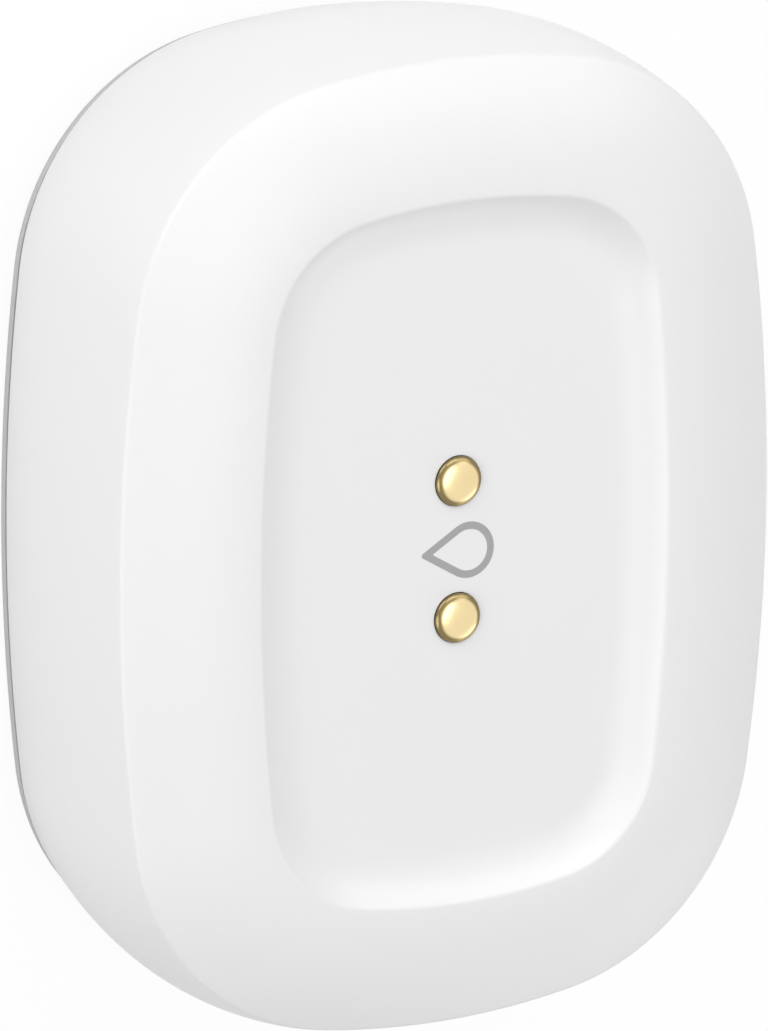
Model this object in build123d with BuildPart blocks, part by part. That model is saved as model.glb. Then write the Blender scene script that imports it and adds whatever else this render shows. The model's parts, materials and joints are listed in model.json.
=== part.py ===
from build123d import *

import os
from math import atan2, degrees, hypot, sqrt
from typing import NamedTuple

# All lengths are in millimetres. The sensor lies on its feet with the drip dish up: X is the short way,
# Y the long way, and the origin is on the floor under the middle.

# Outline at the crease, where the side wall meets the top ring
crease_half_width = 20.9
crease_half_length = 28.05
crease_side_radius = 111.5
crease_end_radius = 48.1
crease_corner_radius = 14.25

# Outline at the foot of the wall, drawn in from the crease at the sides and the ends
foot_side_taper = 1.2
foot_end_taper = 0.45
foot_side_radius = 125.0
foot_end_radius = 39.2
foot_corner_radius = 14.25

# Outline of the lip round the drip dish, inside the top ring
ring_side_width = 7.8
ring_end_width = 7.65
lip_side_radius = 118.4
lip_end_radius = 38.4
lip_corner_radius = 7.0

# How far the wall bulges outside a straight line from crease to foot
bulge_width = 0.72
bulge_length = 1.05

# How far the foot of the wall stands back from the plate at the sides, where the seam shows
wall_side_step = 0.16

# Heights of the outside
foot_height = 0.8
plate_edge = 0.5
seam_gap = 0.28
crown_rise = 2.1
dish_depth = 1.1
dish_slope_run = 3.0
dish_slope_power = 2.5

# Upper case
wall = 1.5
rim_wall = 1.3
roof_wall = 1.4
roof_slope_run = 3.0
rib_wall = 0.75
cut_overrun = 1.0

# Base cover
plate_round = 0.12
floor_thickness = 0.9
spigot_clearance = 0.15
spigot_wall = 1.2
spigot_rise = 2.1
notch_width = 9.0
notch_depth = 1.2
base_rib_thickness = 0.8
base_rib_height = 0.6

# Seal ring round the spigot
seal_height = 1.0
seal_depth = 0.6
seal_proud = 0.05
seal_lift = 0.1

# Foot pads
foot_radius = 3.5
foot_recess = 0.5
foot_round = 0.2

# Chassis
chassis_thickness = 1.2
chassis_clearance = 0.2
post_radius = 2.2
post_gap = 0.3

# Screws that go up through chassis and board into the case
screw_radius = 1.0
screw_fit = 0.02
screw_clearance = 0.15
screw_bite = 2.6
screw_head_radius = 1.9
screw_head_height = 1.2
screw_slot_width = 0.45
screw_slot_depth = 0.6

# Circuit board
board_thickness = 1.0
board_gap = 0.6

# Coin cell and its holder
cell_radius = 12.25
cell_height = 5.0
cell_rim_width = 1.85
cell_cap_height = 0.5
cell_round = 0.5
cell_fit = 0.25
holder_wall = 1.2
holder_roof = 0.8
holder_lift = 0.2
holder_lip = 0.5
holder_end_gap = 0.6
holder_post_gap = 0.87
holder_spring_space = 0.6
cell_opening_gap = 0.4
window_width = 6.4
clip_width = 5.0
clip_thickness = 0.25
clip_foot = 3.0
clip_gap = 0.02
clip_lead = 1.0
terminal_width = 3.0
terminal_thickness = 0.2
terminal_arm = 5.0
terminal_pad = 1.6
terminal_bend = 0.3

# Drip contacts in the dish
drip_pitch = 7.95
drip_head_radius = 1.45
drip_head_height = 0.45
drip_head_round = 0.4
drip_collar = 0.1
drip_shank_radius = 0.6
drip_seat_gap = 0.06
drip_seal_height = 0.7
drip_boss_radius = 2.4
drip_boss_height = 1.2
drip_tail = 0.8
drip_finger_rise = 1.1

# Flood contacts under the base
flood_pitch = 20.0
flood_post_pitch = 6.44
flood_head_radius = 2.0
flood_head_height = 0.45
flood_head_round = 0.4
flood_collar = 0.1
flood_shank_radius = 0.8
flood_seat_gap = 0.06
flood_seal_height = 0.8
flood_boss_radius = 2.7
flood_boss_height = 1.2
flood_tail = 3.0
flood_passage_gap = 1.0

# Push-on clips that hold the contacts
push_clip_thickness = 0.3
push_clip_overlap = 1.4
shaft_fit = 0.02

# Spring fingers between the board and the contacts
finger_thickness = 0.2
finger_width = 1.8
finger_bend = 0.3
finger_foot = 2.0
finger_step = 1.9
finger_pad = 0.9

# Pairing button and the tactile switch that it presses
button_radius = 2.2
button_clearance = 0.06
button_recess = 0.2
button_flange = 0.8
button_flange_height = 0.8
button_stem_radius = 1.2
switch_side = 6.0
switch_height = 3.4
switch_travel = 0.3
plunger_radius = 1.6
plunger_length = 1.6
plunger_reach = 0.5
plunger_clearance = 0.1

# Indicator
led_length = 1.6
led_width = 0.8
led_height = 0.6
pipe_radius = 1.15
pipe_fit = 0.03
pipe_collar_wall = 0.85
pipe_collar_height = 1.5
pipe_air_gap = 0.2

# Radio can and the parts under it
shield_length = 14.0
shield_width = 12.0
shield_height = 1.8
shield_sheet = 0.2
shield_gap = 4.0
shield_post_gap = 0.1
controller_side = 6.0
controller_height = 0.85
crystal_length = 2.5
crystal_width = 2.0
crystal_height = 0.6
can_part_gap = 1.2

# Small parts on the board
antenna_length = 6.0
antenna_width = 2.0
antenna_height = 1.0
antenna_edge_gap = 0.8
thermistor_length = 1.0
thermistor_width = 0.5
capacitor_length = 1.6
capacitor_width = 0.8
capacitor_height = 0.8
resistor_length = 1.0
resistor_width = 0.5
resistor_height = 0.35
chip_pitch = 2.0
chip_row_offset = 9.5

# Drop pictogram let into the dish
drop_round_radius = 1.63
drop_centre_offset = 0.72
drop_tip_reach = 2.3
drop_stroke = 0.43
drop_inlay_depth = 0.3
drop_proud = 0.01
drop_side_shift = 0.12

# Where the pairing button stands between the holder and the end of the board
button_share = 0.575

# Shares of the wall, the top ring and the dish slope at which a section of the skin is taken
wall_shares = (0, 0.25, 0.5, 0.75, 1)
ring_shares = (0, 0.35, 0.7, 1)
slope_shares = (0, 0.2, 0.5, 0.8, 1)

standing = (Align.CENTER, Align.CENTER, Align.MIN)
signs = (-1, 1)


class Outline(NamedTuple):
    half_width: float
    half_length: float
    side_radius: float
    end_radius: float
    corner_radius: float

    def inset(self, distance):
        return Outline(*(size - distance for size in self))

    def blend(self, other, share):
        return Outline(*(a + (b - a) * share for a, b in zip(self, other)))

    def grown(self, more_width, more_length):
        stretch = 1 + more_width / self.half_width
        radii = (radius * stretch for radius in self[2:])
        return Outline(self.half_width + more_width, self.half_length + more_length, *radii)

    def corner_centre(self):
        """Where the corner arc is centred, so that it runs smoothly into the side arc and the end arc."""
        side_x = self.half_width - self.side_radius
        end_y = self.half_length - self.end_radius
        to_side = self.side_radius - self.corner_radius
        to_end = self.end_radius - self.corner_radius
        span = hypot(side_x, end_y)
        along = (to_side**2 - to_end**2 + span**2) / (2 * span)
        across = sqrt(to_side**2 - along**2)
        return (
            side_x - side_x * along / span - end_y * across / span,
            end_y * along / span - side_x * across / span,
        )


crease = Outline(
    crease_half_width, crease_half_length, crease_side_radius, crease_end_radius, crease_corner_radius
)
foot = Outline(
    crease_half_width - foot_side_taper,
    crease_half_length - foot_end_taper,
    foot_side_radius,
    foot_end_radius,
    foot_corner_radius,
)
wall_foot = foot._replace(half_width=foot.half_width - wall_side_step)
lip = Outline(
    crease_half_width - ring_side_width,
    crease_half_length - ring_end_width,
    lip_side_radius,
    lip_end_radius,
    lip_corner_radius,
)

# Levels of the plate
plate_bottom = foot_height
plate_top = plate_bottom + plate_edge
rim_level = plate_top + seam_gap

# Levels of the stack inside
floor_top = plate_top + floor_thickness
spigot_top = floor_top + spigot_rise
chassis_top = spigot_top + chassis_thickness
cell_bottom = chassis_top + holder_lift + holder_lip
cell_top = cell_bottom + cell_height
holder_roof_bottom = cell_top + holder_spring_space
board_bottom = holder_roof_bottom + holder_roof
board_top = board_bottom + board_thickness
roof_level = board_top + drip_finger_rise + drip_tail + push_clip_thickness + drip_boss_height
rib_top = roof_level + rib_wall

# Levels of the top, which the stack carries
dish_level = roof_level + roof_wall
lip_level = dish_level + dish_depth
crease_level = lip_level - crown_rise
wall_height = crease_level - plate_bottom

# Outlines that nest in the rim of the case
rim_bore = foot.inset(rim_wall)
spigot = rim_bore.inset(spigot_clearance)
spigot_bore = spigot.inset(spigot_wall)
chassis_outline = rim_bore.inset(chassis_clearance)
board_outline = rim_bore.inset(board_gap)

# Four posts, one in each corner, that carry the screws above and the feet below
corner_x, corner_y = spigot_bore.corner_centre()
post_reach = (spigot_bore.corner_radius - post_gap - post_radius) / sqrt(2)
post_x, post_y = corner_x + post_reach, corner_y + post_reach
posts = [(side * post_x, end * post_y) for end in signs for side in signs]

# The holder nests between the two posts at its end of the board
holder_radius = cell_radius + cell_fit + holder_wall
nest_reach = holder_radius + post_radius + holder_post_gap
nest_depth = sqrt(nest_reach**2 - min(post_x, nest_reach) ** 2)
cell_y = max(nest_depth - post_y, holder_radius + holder_end_gap - board_outline.half_length)
holder_edge_y = cell_y + holder_radius

# Places of the contacts, the button and the light
floods = [(side * flood_pitch / 2, post_y - flood_post_pitch) for side in signs]
drips = [(0, end * drip_pitch / 2) for end in signs]
button_place = (0, holder_edge_y + button_share * (board_outline.half_length - holder_edge_y))
pipe_collar_radius = pipe_radius + pipe_fit + pipe_collar_wall
led_place = (0, crease_half_length - wall - roof_slope_run - pipe_collar_radius)

# The radio can stands off the drip contacts, and short of the posts where they come in beside it
shield_y = -drip_pitch / 2 - shield_gap - shield_width / 2
if post_x - post_radius - shield_post_gap < shield_length / 2:
    shield_y = post_radius + shield_post_gap + shield_width / 2 - post_y
shield_place = (0, shield_y)
antenna_place = (board_outline.half_width - antenna_edge_gap - antenna_width, drip_pitch)
thermistor_place = (-antenna_place[0], 0)

# Levels of the contacts
drip_tip = dish_level + drip_head_height
drip_seat = dish_level - drip_collar
drip_seat_bottom = drip_seat - drip_seal_height
drip_boss_bottom = roof_level - drip_boss_height
drip_clip_bottom = drip_boss_bottom - push_clip_thickness
drip_end = drip_clip_bottom - drip_tail
flood_tip = plate_bottom - flood_head_height
flood_seat = plate_bottom + flood_collar
flood_seat_top = flood_seat + flood_seal_height
flood_boss_top = floor_top + flood_boss_height
flood_clip_top = flood_boss_top + push_clip_thickness
flood_end = flood_clip_top + flood_tail

# Levels of the button
button_face = spigot_top + button_recess
button_flange_top = chassis_top + button_flange_height
switch_bottom = board_bottom - switch_height
plunger_bottom = switch_bottom - plunger_reach
led_top = board_top + led_height
pipe_bottom = led_top + pipe_air_gap


def wall_outline(level):
    """Outside of the side wall at a level: a taper from crease to foot that bulges like a barrel."""
    share = (crease_level - level) / wall_height
    bulge_share = 4 * share * (1 - share)
    straight = crease.blend(wall_foot, share)
    return straight.grown(bulge_width * bulge_share, bulge_length * bulge_share)


def outline_face(shape, level):
    """Face of eight arcs, each tangent to the next, at a level."""
    centre_x, centre_y = shape.corner_centre()
    side_x = shape.half_width - shape.side_radius
    end_y = shape.half_length - shape.end_radius
    side_turn = degrees(atan2(centre_y, centre_x - side_x))
    end_turn = degrees(atan2(centre_y - end_y, centre_x))
    corner_turn = end_turn - side_turn
    with BuildSketch(Plane.XY.offset(level)) as sketch:
        with BuildLine():
            for sign, turn in ((1, 0), (-1, 180)):
                first_corner = (sign * centre_x, sign * centre_y)
                second_corner = (-sign * centre_x, sign * centre_y)
                CenterArc((sign * side_x, 0), shape.side_radius, turn - side_turn, 2 * side_turn)
                CenterArc(first_corner, shape.corner_radius, turn + side_turn, corner_turn)
                CenterArc((0, sign * end_y), shape.end_radius, turn + end_turn, 180 - 2 * end_turn)
                CenterArc(second_corner, shape.corner_radius, turn + 180 - end_turn, corner_turn)
        make_face()
    return sketch.sketch.face()


def prism(shape, bottom, top, mode=Mode.ADD):
    extrude(outline_face(shape, bottom), amount=top - bottom, dir=(0, 0, 1), mode=mode)


def ring(outer, inner, bottom, top, mode=Mode.ADD):
    with BuildSketch(Plane.XY.offset(bottom)) as band:
        add(outline_face(outer, 0))
        add(outline_face(inner, 0), mode=Mode.SUBTRACT)
    extrude(band.sketch, amount=top - bottom, dir=(0, 0, 1), mode=mode)


def column(radius, bottom, top, places, mode=Mode.ADD):
    with Locations(*[(x, y, bottom) for x, y in places]):
        Cylinder(radius, top - bottom, align=standing, mode=mode)


def block(length, width, bottom, top, places, mode=Mode.ADD):
    with Locations(*[(x, y, bottom) for x, y in places]):
        Box(length, width, top - bottom, align=standing, mode=mode)


def keep(piece, name):
    piece.part.label = name
    export_step(piece.part, f"parts/{name}.step")


def drop_outline(round_radius, tip_reach):
    """Drop shape: a round end and two straight flanks that meet in a tip towards -X."""
    reach = drop_centre_offset + tip_reach
    touch_x = drop_centre_offset - round_radius**2 / reach
    touch_y = round_radius * sqrt(1 - (round_radius / reach) ** 2)
    tip = (-tip_reach, 0)
    with BuildSketch() as sketch:
        with BuildLine():
            Line(tip, (touch_x, -touch_y))
            ThreePointArc(
                (touch_x, -touch_y), (drop_centre_offset + round_radius, 0), (touch_x, touch_y)
            )
            Line((touch_x, touch_y), tip)
        make_face()
    return sketch.sketch.face()


def drop_ring(bottom, top, mode=Mode.ADD):
    """The pictogram's line: the drop outline with a smaller drop taken out of it."""
    inner_radius = drop_round_radius - drop_stroke
    inner_reach = inner_radius * (drop_centre_offset + drop_tip_reach) / drop_round_radius
    with BuildSketch(Plane((0, -drop_side_shift, bottom))) as line:
        add(drop_outline(drop_round_radius, drop_tip_reach))
        add(drop_outline(inner_radius, inner_reach - drop_centre_offset), mode=Mode.SUBTRACT)
    extrude(line.sketch, amount=top - bottom, dir=(0, 0, 1), mode=mode)


def make_upper_case():
    wall_levels = [crease_level + (rim_level - crease_level) * share for share in wall_shares]
    crown = [(crease_level + crown_rise * (1 - (1 - share) ** 2), share) for share in ring_shares]
    slope = [(dish_level + dish_depth * (1 - share) ** dish_slope_power, share) for share in slope_shares]
    bore_top = spigot_top + chassis_clearance
    cavity = [
        (bore_top, rim_bore),
        (crease_level - wall, crease.inset(wall)),
        (roof_level, crease.inset(wall + roof_slope_run)),
    ]
    with BuildPart() as case:
        loft([outline_face(wall_outline(level), level) for level in wall_levels])
        loft([outline_face(crease.blend(lip, share), level) for level, share in crown])
        loft(
            [outline_face(lip.inset(share * dish_slope_run), level) for level, share in slope],
            mode=Mode.SUBTRACT,
        )
        prism(rim_bore, rim_level - cut_overrun, bore_top, Mode.SUBTRACT)
        loft([outline_face(shape, level) for level, shape in cavity], ruled=True, mode=Mode.SUBTRACT)
        column(post_radius, board_top, rib_top, posts)
        column(screw_radius + screw_fit, board_top, board_top + screw_bite, posts, Mode.SUBTRACT)
        column(drip_boss_radius, drip_boss_bottom, rib_top, drips)
        column(drip_head_radius + drip_seat_gap, drip_seat_bottom, lip_level, drips, Mode.SUBTRACT)
        column(
            drip_shank_radius + shaft_fit, drip_boss_bottom - cut_overrun, dish_level, drips, Mode.SUBTRACT
        )
        column(pipe_collar_radius, roof_level - pipe_collar_height, rib_top, [led_place])
        column(
            pipe_radius + pipe_fit,
            roof_level - pipe_collar_height - cut_overrun,
            roof_level,
            [led_place],
            Mode.SUBTRACT,
        )
        drop_ring(dish_level - drop_inlay_depth, lip_level, Mode.SUBTRACT)
    keep(case, "upper_case")


def make_drop_icon():
    with BuildPart() as icon:
        drop_ring(dish_level - drop_inlay_depth, dish_level + drop_proud)
    keep(icon, "drop_icon")


def make_base_cover():
    seat_radius = flood_head_radius + flood_seat_gap
    groove_bottom = floor_top + seal_lift
    groove_top = groove_bottom + seal_height
    notch_reach = foot.half_length - notch_depth / 2
    with BuildPart() as cover:
        prism(foot, plate_bottom, plate_top)
        fillet(cover.edges().group_by(Axis.Z)[0], radius=plate_round)
        prism(spigot, plate_top, spigot_top)
        prism(spigot_bore, floor_top, spigot_top + cut_overrun, Mode.SUBTRACT)
        ring(spigot.inset(-cut_overrun), spigot.inset(seal_depth), groove_bottom, groove_top, Mode.SUBTRACT)
        rib_length = 2 * spigot_bore.half_width - spigot_wall
        block(rib_length, base_rib_thickness, floor_top, floor_top + base_rib_height, [(0, cell_y)])
        column(flood_boss_radius, floor_top, flood_boss_top, floods)
        column(seat_radius, plate_bottom, flood_seat_top, floods, Mode.SUBTRACT)
        column(flood_shank_radius + shaft_fit, plate_bottom, flood_boss_top, floods, Mode.SUBTRACT)
        column(foot_radius, plate_bottom, plate_bottom + foot_recess, posts, Mode.SUBTRACT)
        block(notch_width, notch_depth, plate_bottom, plate_top, [(0, -notch_reach)], Mode.SUBTRACT)
    keep(cover, "base_cover")


def make_base_seal():
    bottom = floor_top + seal_lift
    with BuildPart() as seal:
        ring(spigot.inset(-seal_proud), spigot.inset(seal_depth), bottom, bottom + seal_height)
    keep(seal, "base_seal")


def make_foot_pads():
    for number, place in enumerate(posts, start=1):
        with BuildPart() as pad:
            column(foot_radius, 0, plate_bottom + foot_recess, [place])
            fillet(pad.edges().group_by(Axis.Z)[0], radius=foot_round)
        keep(pad, f"foot_pad_{number}")


def make_drip_contacts():
    for number, place in enumerate(drips, start=1):
        with BuildPart() as pin:
            column(drip_head_radius, drip_seat, drip_tip, [place])
            fillet(pin.edges().group_by(Axis.Z)[-1], radius=drip_head_round)
            column(drip_shank_radius, drip_end, drip_seat, [place])
        keep(pin, f"drip_contact_{number}")
        with BuildPart() as washer:
            column(drip_head_radius, drip_seat_bottom, drip_seat, [place])
            column(drip_shank_radius + shaft_fit, drip_seat_bottom, drip_seat, [place], Mode.SUBTRACT)
        keep(washer, f"drip_seal_{number}")
        with BuildPart() as clip:
            column(drip_shank_radius + push_clip_overlap, drip_clip_bottom, drip_boss_bottom, [place])
            column(
                drip_shank_radius + shaft_fit, drip_clip_bottom, drip_boss_bottom, [place], Mode.SUBTRACT
            )
        keep(clip, f"drip_clip_{number}")


def make_flood_contacts():
    for number, place in enumerate(floods, start=1):
        with BuildPart() as pin:
            column(flood_head_radius, flood_tip, flood_seat, [place])
            fillet(pin.edges().group_by(Axis.Z)[0], radius=flood_head_round)
            column(flood_shank_radius, flood_seat, flood_end, [place])
        keep(pin, f"flood_contact_{number}")
        with BuildPart() as washer:
            column(flood_head_radius, flood_seat, flood_seat_top, [place])
            column(flood_shank_radius + shaft_fit, flood_seat, flood_seat_top, [place], Mode.SUBTRACT)
        keep(washer, f"flood_seal_{number}")
        with BuildPart() as clip:
            column(flood_shank_radius + push_clip_overlap, flood_boss_top, flood_clip_top, [place])
            column(
                flood_shank_radius + shaft_fit, flood_boss_top, flood_clip_top, [place], Mode.SUBTRACT
            )
        keep(clip, f"flood_clip_{number}")


def make_chassis():
    with BuildPart() as chassis:
        prism(chassis_outline, spigot_top, chassis_top)
        column(post_radius, spigot_top, board_bottom, posts)
        column(screw_radius + screw_clearance, spigot_top, board_bottom, posts, Mode.SUBTRACT)
        column(cell_radius + cell_opening_gap, spigot_top, chassis_top, [(0, cell_y)], Mode.SUBTRACT)
        column(flood_shank_radius + flood_passage_gap, spigot_top, chassis_top, floods, Mode.SUBTRACT)
        column(button_radius + button_clearance, spigot_top, chassis_top, [button_place], Mode.SUBTRACT)
    keep(chassis, "chassis")


def make_screws():
    for number, (x, y) in enumerate(posts, start=1):
        head_bottom = spigot_top - screw_head_height
        slot_top = head_bottom + screw_slot_depth
        slot_length = 1.2 * screw_head_radius
        with BuildPart() as screw:
            column(screw_head_radius, head_bottom, spigot_top, [(x, y)])
            column(screw_radius, spigot_top, board_top + screw_bite, [(x, y)])
            block(slot_length, screw_slot_width, head_bottom, slot_top, [(x, y)], Mode.SUBTRACT)
            block(screw_slot_width, slot_length, head_bottom, slot_top, [(x, y)], Mode.SUBTRACT)
        keep(screw, f"case_screw_{number}")


def make_circuit_board():
    with BuildPart() as board:
        prism(board_outline, board_bottom, board_top)
        column(screw_radius + screw_clearance, board_bottom, board_top, posts, Mode.SUBTRACT)
    keep(board, "circuit_board")


def make_battery_holder():
    middle = [(0, cell_y)]
    holder_bottom = cell_bottom - holder_lip
    with BuildPart() as holder:
        column(holder_radius, holder_bottom, board_bottom, middle)
        column(cell_radius + cell_fit, cell_bottom, holder_roof_bottom, middle, Mode.SUBTRACT)
        column(cell_radius - holder_lip, holder_bottom, cell_bottom, middle, Mode.SUBTRACT)
        column(terminal_arm, holder_roof_bottom, board_bottom, middle, Mode.SUBTRACT)
        block(
            window_width,
            2 * (holder_wall + cell_fit),
            holder_bottom,
            board_bottom,
            [(0, holder_edge_y - holder_wall / 2)],
            Mode.SUBTRACT,
        )
    keep(holder, "battery_holder")


def make_coin_cell():
    middle = [(0, cell_y)]
    with BuildPart() as cell:
        column(cell_radius, cell_bottom, cell_top - cell_cap_height, middle)
        fillet(cell.edges().group_by(Axis.Z)[0], radius=cell_round)
        column(cell_radius - cell_rim_width, cell_top - cell_cap_height, cell_top, middle)
    keep(cell, "coin_cell")


def make_positive_clip():
    """Strip that stands against the side of the cell's can, with its foot on the board."""
    face_y = cell_y + cell_radius + clip_gap + clip_thickness / 2
    foot_z = board_bottom - clip_thickness / 2
    with BuildPart() as clip:
        with BuildSketch(Plane.YZ.offset(-clip_width / 2)):
            with BuildLine():
                FilletPolyline(
                    (face_y + clip_foot, foot_z),
                    (face_y, foot_z),
                    (face_y, cell_bottom + clip_lead),
                    radius=terminal_bend,
                )
            trace(line_width=clip_thickness)
        extrude(amount=clip_width)
    keep(clip, "battery_positive_clip")


def make_negative_spring():
    """Strip that reaches down from the board to the middle of the cell's cap."""
    foot_z = board_bottom - terminal_thickness / 2
    pad_z = cell_top + terminal_thickness / 2
    with BuildPart() as spring:
        with BuildSketch(Plane.XZ.offset(-cell_y - terminal_width / 2)):
            with BuildLine():
                FilletPolyline(
                    (-terminal_arm + terminal_thickness, foot_z),
                    (-terminal_pad - terminal_thickness, foot_z),
                    (0, pad_z),
                    (terminal_pad, pad_z),
                    radius=terminal_bend,
                )
            trace(line_width=terminal_thickness)
        extrude(amount=terminal_width)
    keep(spring, "battery_negative_spring")


def make_finger(name, place, board_face, contact_face, side):
    """Bent strip from a face of the board to the end of a contact, with its foot towards a side."""
    x, y = place
    away = 1 if contact_face > board_face else -1
    foot_z = board_face + away * finger_thickness / 2
    pad_z = contact_face - away * finger_thickness / 2
    with BuildPart() as finger:
        with BuildSketch(Plane.XZ.offset(-y - finger_width / 2)):
            with BuildLine():
                FilletPolyline(
                    (x + side * (finger_pad + finger_step + finger_foot), foot_z),
                    (x + side * (finger_pad + finger_step), foot_z),
                    (x + side * finger_pad, pad_z),
                    (x - side * finger_pad, pad_z),
                    radius=finger_bend,
                )
            trace(line_width=finger_thickness)
        extrude(amount=finger_width)
    keep(finger, name)


def make_connect_button():
    flange_radius = button_radius + button_flange
    with BuildPart() as button:
        column(button_radius, button_face, chassis_top, [button_place])
        column(flange_radius, chassis_top, button_flange_top, [button_place])
        column(button_stem_radius, button_flange_top, plunger_bottom, [button_place])
    keep(button, "connect_button")


def make_switch():
    bore_top = plunger_bottom + plunger_length + 2 * switch_travel
    with BuildPart() as body:
        block(switch_side, switch_side, switch_bottom, board_bottom, [button_place])
        column(plunger_radius + plunger_clearance, switch_bottom, bore_top, [button_place], Mode.SUBTRACT)
    keep(body, "switch_body")
    with BuildPart() as plunger:
        column(plunger_radius, plunger_bottom, plunger_bottom + plunger_length, [button_place])
    keep(plunger, "switch_plunger")


def make_indicator():
    with BuildPart() as led:
        block(led_length, led_width, board_top, led_top, [led_place])
    keep(led, "status_led")
    with BuildPart() as pipe:
        column(pipe_radius, pipe_bottom, roof_level, [led_place])
    keep(pipe, "light_pipe")


def make_radio():
    x, y = shield_place
    inner_length = shield_length - 2 * shield_sheet
    inner_width = shield_width - 2 * shield_sheet
    shield_top = board_top + shield_height
    controller_x = x - inner_length / 2 + can_part_gap + controller_side / 2
    crystal_x = controller_x + controller_side / 2 + can_part_gap + crystal_length / 2
    with BuildPart() as shield:
        block(shield_length, shield_width, board_top, shield_top, [(x, y)])
        block(inner_length, inner_width, board_top, shield_top - shield_sheet, [(x, y)], Mode.SUBTRACT)
    keep(shield, "radio_shield")
    with BuildPart() as controller:
        block(
            controller_side, controller_side, board_top, board_top + controller_height, [(controller_x, y)]
        )
    keep(controller, "microcontroller")
    with BuildPart() as crystal:
        block(crystal_length, crystal_width, board_top, board_top + crystal_height, [(crystal_x, y)])
    keep(crystal, "crystal")
    with BuildPart() as antenna:
        block(antenna_width, antenna_length, board_top, board_top + antenna_height, [antenna_place])
    keep(antenna, "chip_antenna")


def make_small_parts():
    with BuildPart() as thermistor:
        block(
            thermistor_width,
            thermistor_length,
            board_top,
            board_top + thermistor_width,
            [thermistor_place],
        )
    keep(thermistor, "temperature_sensor")
    rows = [(side, drip_pitch + step * chip_pitch) for side in signs for step in range(3)]
    with BuildPart() as capacitors:
        places = [(side * chip_row_offset, y) for side, y in rows]
        block(capacitor_length, capacitor_width, board_top, board_top + capacitor_height, places)
    keep(capacitors, "capacitors")
    with BuildPart() as resistors:
        places = [(side * (chip_row_offset - 2 * chip_pitch), y) for side, y in rows]
        block(resistor_length, resistor_width, board_top, board_top + resistor_height, places)
    keep(resistors, "resistors")


os.makedirs("parts", exist_ok=True)
make_upper_case()
make_drop_icon()
make_drip_contacts()
make_base_cover()
make_base_seal()
make_foot_pads()
make_flood_contacts()
make_chassis()
make_screws()
make_circuit_board()
make_battery_holder()
make_coin_cell()
make_positive_clip()
make_negative_spring()
for number, place in enumerate(drips, start=1):
    make_finger(f"drip_finger_{number}", place, board_top, drip_end, -1)
for number, place in enumerate(floods, start=1):
    make_finger(f"flood_finger_{number}", place, board_bottom, flood_end, -1 if place[0] > 0 else 1)
make_connect_button()
make_switch()
make_indicator()
make_radio()
make_small_parts()
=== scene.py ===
import json
from itertools import product

import bmesh
import bpy
import numpy as np
from mathutils import Matrix, Vector
from mathutils.geometry import delaunay_2d_cdt


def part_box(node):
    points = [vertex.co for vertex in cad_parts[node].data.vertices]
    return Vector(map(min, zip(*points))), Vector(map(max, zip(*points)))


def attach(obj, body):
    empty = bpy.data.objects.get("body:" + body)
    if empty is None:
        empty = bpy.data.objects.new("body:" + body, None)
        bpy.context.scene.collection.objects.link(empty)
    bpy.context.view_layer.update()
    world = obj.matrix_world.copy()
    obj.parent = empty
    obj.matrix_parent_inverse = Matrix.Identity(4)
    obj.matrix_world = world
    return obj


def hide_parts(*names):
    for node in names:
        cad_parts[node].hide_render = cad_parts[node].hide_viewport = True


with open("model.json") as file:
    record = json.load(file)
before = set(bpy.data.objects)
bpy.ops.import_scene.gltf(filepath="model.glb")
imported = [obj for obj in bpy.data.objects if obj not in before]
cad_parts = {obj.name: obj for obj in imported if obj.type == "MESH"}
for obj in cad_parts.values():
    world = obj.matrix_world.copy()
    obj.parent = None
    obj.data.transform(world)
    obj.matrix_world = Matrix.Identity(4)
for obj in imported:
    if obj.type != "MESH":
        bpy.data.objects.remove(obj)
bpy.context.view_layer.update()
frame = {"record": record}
print("frame loaded")

# Body and material slot of each node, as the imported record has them
record = frame["record"]
bodyOfNode = {node: body for body, nodes in record["behaviour"]["bodies"].items() for node in nodes}
slotOfNode = {part["node"]: part["material_slot"] for part in record["subparts"]}

# Sizes are written in millimetres and become metres when a mesh is made
mm = 0.001
halfTurn = np.pi

# An inset past every half size draws a block's face in to its middle, and a fine round looks like a corner
wholeWidth = 99
fineRound = 0.01
meshing = {"merge": 0.0005, "leastEdge": 0.0001, "sameSpot": 1e-7, "insideOnly": 1, "sharpDegrees": 40}
# Points on the arc of a rounded corner
sparseArc, plainArc, denseArc = 4, 5, 6

# An outline is five sizes: half width, half length, side radius, end radius, corner radius
bodyShape = {
    "crease": (20.9, 28.05, 111.5, 48.1, 14.25),
    "foot": (19.7, 27.6, 125.0, 39.2, 14.25),
    "wallFoot": (19.54, 27.6, 125.0, 39.2, 14.25),
    "lip": (13.1, 20.4, 118.4, 38.4, 7.0),
    "bulgeWidth": 0.72,
    "bulgeLength": 1.05,
    "footHeight": 0.8,
    "plateEdge": 0.5,
    "seamGap": 0.28,
    "wallHeight": 16.6,
    "crownRise": 2.1,
    "dishDepth": 1.1,
    "dishSlopeRun": 3.0,
    "sidePoints": 30,
    "cornerPoints": 40,
    "endPoints": 34,
}
crease, foot, wallFoot, lip = (np.array(bodyShape[name]) for name in ("crease", "foot", "wallFoot", "lip"))
plateBottom = bodyShape["footHeight"]
plateTop = plateBottom + bodyShape["plateEdge"]
rimLevel = plateTop + bodyShape["seamGap"]
creaseLevel = plateBottom + bodyShape["wallHeight"]
lipLevel = creaseLevel + bodyShape["crownRise"]
dishLevel = lipLevel - bodyShape["dishDepth"]

arcPoints = [bodyShape[name] for name in ("sidePoints", "cornerPoints", "endPoints", "cornerPoints")] * 2
arcOfColumn = np.repeat(np.arange(8), arcPoints)
shareOfColumn = np.concatenate([np.arange(count) / count for count in arcPoints])


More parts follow.
